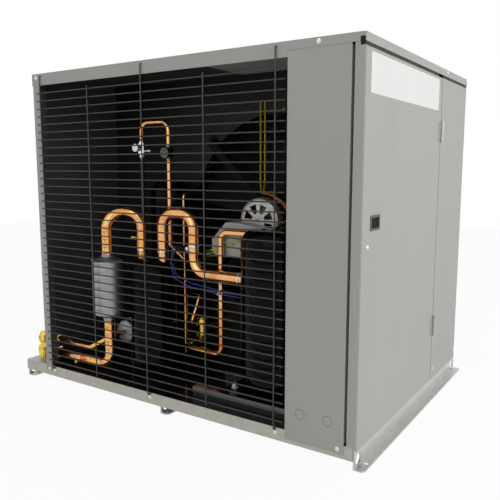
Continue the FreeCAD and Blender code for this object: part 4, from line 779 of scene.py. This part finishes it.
def makeTie():
    # strap: a slanted oval, centre + (long cos t) u + (short sin t) v, with its width along X;
    # tail: a tapering bar with four sides that starts at the oval's end and bends back along u
    vessel = middle("suction_accumulator")
    centre = np.array([vessel[0] + cableTie["fromVessel"][0], vessel[1] + cableTie["fromVessel"][1],
                       cableTie["height"]])
    lean = math.radians(cableTie["lean"])
    sideways = np.array([1.0, 0.0, 0.0])
    u = np.array([0.0, math.cos(lean), math.sin(lean)])
    v = np.array([0.0, -math.sin(lean), math.cos(lean)])
    t = np.linspace(0, 2 * np.pi, cableTie["sides"], endpoint=False)[:, None, None]
    thick = np.array([0, 0, 1, 1])[None, :, None] * cableTie["thick"]
    width = np.array([-0.5, 0.5, 0.5, -0.5])[None, :, None] * cableTie["width"]
    loop = (cableTie["long"] + thick) * np.cos(t) * u + (cableTie["short"] + thick) * np.sin(t) * v
    strap = centre + loop + width * sideways
    steps = cableTie["tailSteps"]
    s = np.linspace(0, 1, steps)[:, None, None]
    wide, narrow = cableTie["tailWidth"]
    fat, thin = cableTie["tailThick"]
    square = np.array([[-0.5, -0.5], [0.5, -0.5], [0.5, 0.5], [-0.5, 0.5]])[None]
    across = square[..., :1] * cableTie["width"] * (wide + (narrow - wide) * s) * sideways
    deep = square[..., 1:] * cableTie["thick"] * (fat + (thin - fat) * s) * u
    head = centre - u * (cableTie["long"] + cableTie["thick"])
    path = cableTie["tail"] * (s - cableTie["tailSink"]) * (v - cableTie["tailBend"] * s * u)
    tail = head + across + deep + path
    points = np.concatenate([strap.reshape(-1, 3), tail.reshape(-1, 3)])
    first = cableTie["sides"] * 4
    last = first + 4 * (steps - 1)
    faces = wrapFaces(cableTie["sides"], 4, True).tolist() + (wrapFaces(steps, 4) + first).tolist()
    faces += [[first + 3, first + 2, first + 1, first], [last, last + 1, last + 2, last + 3]]
    addPiece("cableTie", points, faces, "tieNylon", "cabinet", False)


makeTie()
print("cable tie added")


# Thin rings of painted shade over the grooves of the two knockouts in the control cover
knockout = {"radius": 14 * mm, "groove": 1.1 * mm, "proud": 0.12 * mm, "sides": 64, "fromLeft": 45 * mm,
            "fromRight": 46 * mm, "fromGround": 114 * mm}


def makeKnockouts():
    # flat closed ring: outer and inner circle, face and back, at each place
    low, high = corners("control_cover")
    outer = knockout["radius"]
    inner = outer - knockout["groove"]
    proud = knockout["proud"]
    profile = np.array([[inner, -proud], [outer, -proud], [outer, proud], [inner, proud]])
    rings = [turnedRing((x, low[1], knockout["fromGround"]), frontward, profile, knockout["sides"])
             for x in (low[0] + knockout["fromLeft"], high[0] - knockout["fromRight"])]
    # each ring is painted shade where the groove would be
    addRings("knockoutGrooveShade", rings, "groove", "cabinet", False)


# Brass stud on the bulkhead: radius and height of its turned profile, in millimetres
brassStud = {"fromBell": 22 * mm, "height": 0.939, "sides": 32,
             "profile": [[0.2, 0], [6.5, 0], [6.5, 1.2], [4.6, 1.2], [4.6, 5.0], [3.8, 7.2], [2.2, 8.6],
                         [0.2, 9.0]]}


def makeStud():
    # one profile turned round: washer, waist and domed end
    wall = corners("fan_bulkhead")[0][1]
    place = (middle("motor_end_bell")[0] + brassStud["fromBell"], wall, brassStud["height"])
    profile = np.array(brassStud["profile"]) * mm
    stud = turnedRing(place, frontward, profile, brassStud["sides"])
    addRings("brassStud", [stud], "machinedBrass", "cabinet")


makeKnockouts()
makeStud()
print("knockouts and stud added")


# Bare label on the door
labelPlate = {"fromFront": 33 * mm, "length": 549 * mm, "fromTop": 8 * mm, "height": 94 * mm,
              "corner": 5 * mm, "cornerSteps": 7, "lift": 0.02 * mm, "thickness": 0.5 * mm}


def makeLabel():
    # rounded rectangle: each corner is a quarter circle, then the outline is given its thickness
    low, high = corners("door")
    r = labelPlate["corner"]
    steps = labelPlate["cornerSteps"]
    halfLength = labelPlate["length"] / 2
    halfHeight = labelPlate["height"] / 2
    centreY = low[1] + labelPlate["fromFront"] + halfLength
    centreZ = high[2] - labelPlate["fromTop"] - halfHeight
    quarter = np.linspace(0, np.pi / 2, steps)
    angle = np.concatenate([quarter + k * np.pi / 2 for k in range(4)])
    y = centreY + np.repeat([1, -1, -1, 1], steps) * (halfLength - r) + r * np.cos(angle)
    z = centreZ + np.repeat([1, 1, -1, -1], steps) * (halfHeight - r) + r * np.sin(angle)
    x = high[0] + np.array([labelPlate["lift"], labelPlate["thickness"]])
    points = np.stack(np.broadcast_arrays(x[:, None], y[None], z[None]), -1)
    count = len(angle)
    faces = wrapFaces(2, count).tolist() + [list(range(count))[::-1], list(range(count, 2 * count))]
    addPiece("bareLabel", points, faces, "vinylLabel", "door", False)


makeLabel()
print("label added")


# Stage and light; each lamp has its place, power and size
studio = {"floor": 12.0, "floorTone": tone(235, 235, 235), "floorGlow": 0.95, "world": 0.29,
          "aim": (0, 0, 0.5)}
lamps = {"keyLamp": ((4.4, -0.7, 2.2), 84.0, 2.0), "fillLamp": ((0.3, -3.8, 2.1), 22.0, 2.4),
         "topLamp": ((0.0, 0.0, 3.4), 20.0, 2.4)}
rayKinds = ("Is Camera Ray", "Is Glossy Ray", "Is Transmission Ray")
white = (1, 1, 1, 1)


def makeFloor():
    # white ground; to the camera and in reflections it glows, so that it runs into the white behind it
    half = studio["floor"] / 2
    mesh = bpy.data.meshes.new("studioFloor")
    square = [(-half, -half, 0), (half, -half, 0), (half, half, 0), (-half, half, 0)]
    mesh.from_pydata(square, [], [(0, 1, 2, 3)])
    floor = bpy.data.objects.new("studioFloor", mesh)
    bpy.context.scene.collection.objects.link(floor)
    g = Graph("studioFloor")
    mesh.materials.append(g.paint(studio["floorTone"], 0.7))
    ray = g.add("ShaderNodeLightPath", {}, {})
    camera, glossy, through = (Num(g, ray.outputs[name]) for name in rayKinds)
    seen = camera.maths("MAXIMUM", camera, glossy.maths("MAXIMUM", glossy, through)) * studio["floorGlow"]
    glow = g.add("ShaderNodeEmission", {}, {"Color": white, "Strength": 1.0})
    blend = g.add("ShaderNodeMixShader", {}, {0: seen, 1: g.shader.outputs[0], 2: glow.outputs[0]})
    output = next(node for node in g.tree.nodes if node.type == "OUTPUT_MATERIAL")
    g.feed(output.inputs[0], blend.outputs[0])


def makeLamp(name, place, power, size):
    # square soft lamp that faces the middle of the unit
    data = bpy.data.lights.new(name, "AREA")
    data.energy = power
    data.size = size
    lamp = bpy.data.objects.new(name, data)
    lamp.location = place
    lamp.rotation_euler = (Vector(studio["aim"]) - Vector(place)).to_track_quat("-Z", "Y").to_euler()
    bpy.context.scene.collection.objects.link(lamp)


def makeWorld():
    # pure white to the camera, in glass and in polished metal; dimmer as a light
    world = bpy.data.worlds.new("studio")
    bpy.context.scene.world = world
    world.use_nodes = True
    tree = world.node_tree
    ray = tree.nodes.new("ShaderNodeLightPath")
    level = tree.nodes.new("ShaderNodeMapRange")
    level.inputs["To Min"].default_value = studio["world"]
    level.inputs["To Max"].default_value = 1.0
    seen = ray.outputs[rayKinds[0]]
    for kind in rayKinds[1:]:
        either = tree.nodes.new("ShaderNodeMath")
        either.operation = "MAXIMUM"
        tree.links.new(seen, either.inputs[0])
        tree.links.new(ray.outputs[kind], either.inputs[1])
        seen = either.outputs[0]
    tree.links.new(seen, level.inputs[0])
    background = tree.nodes["Background"]
    background.inputs[0].default_value = white
    tree.links.new(level.outputs[0], background.inputs[1])


makeFloor()
for name, (place, power, size) in lamps.items():
    makeLamp(name, place, power, size)
makeWorld()
bpy.context.scene.view_settings.view_transform = "Standard"
print("stage and lamps ready")
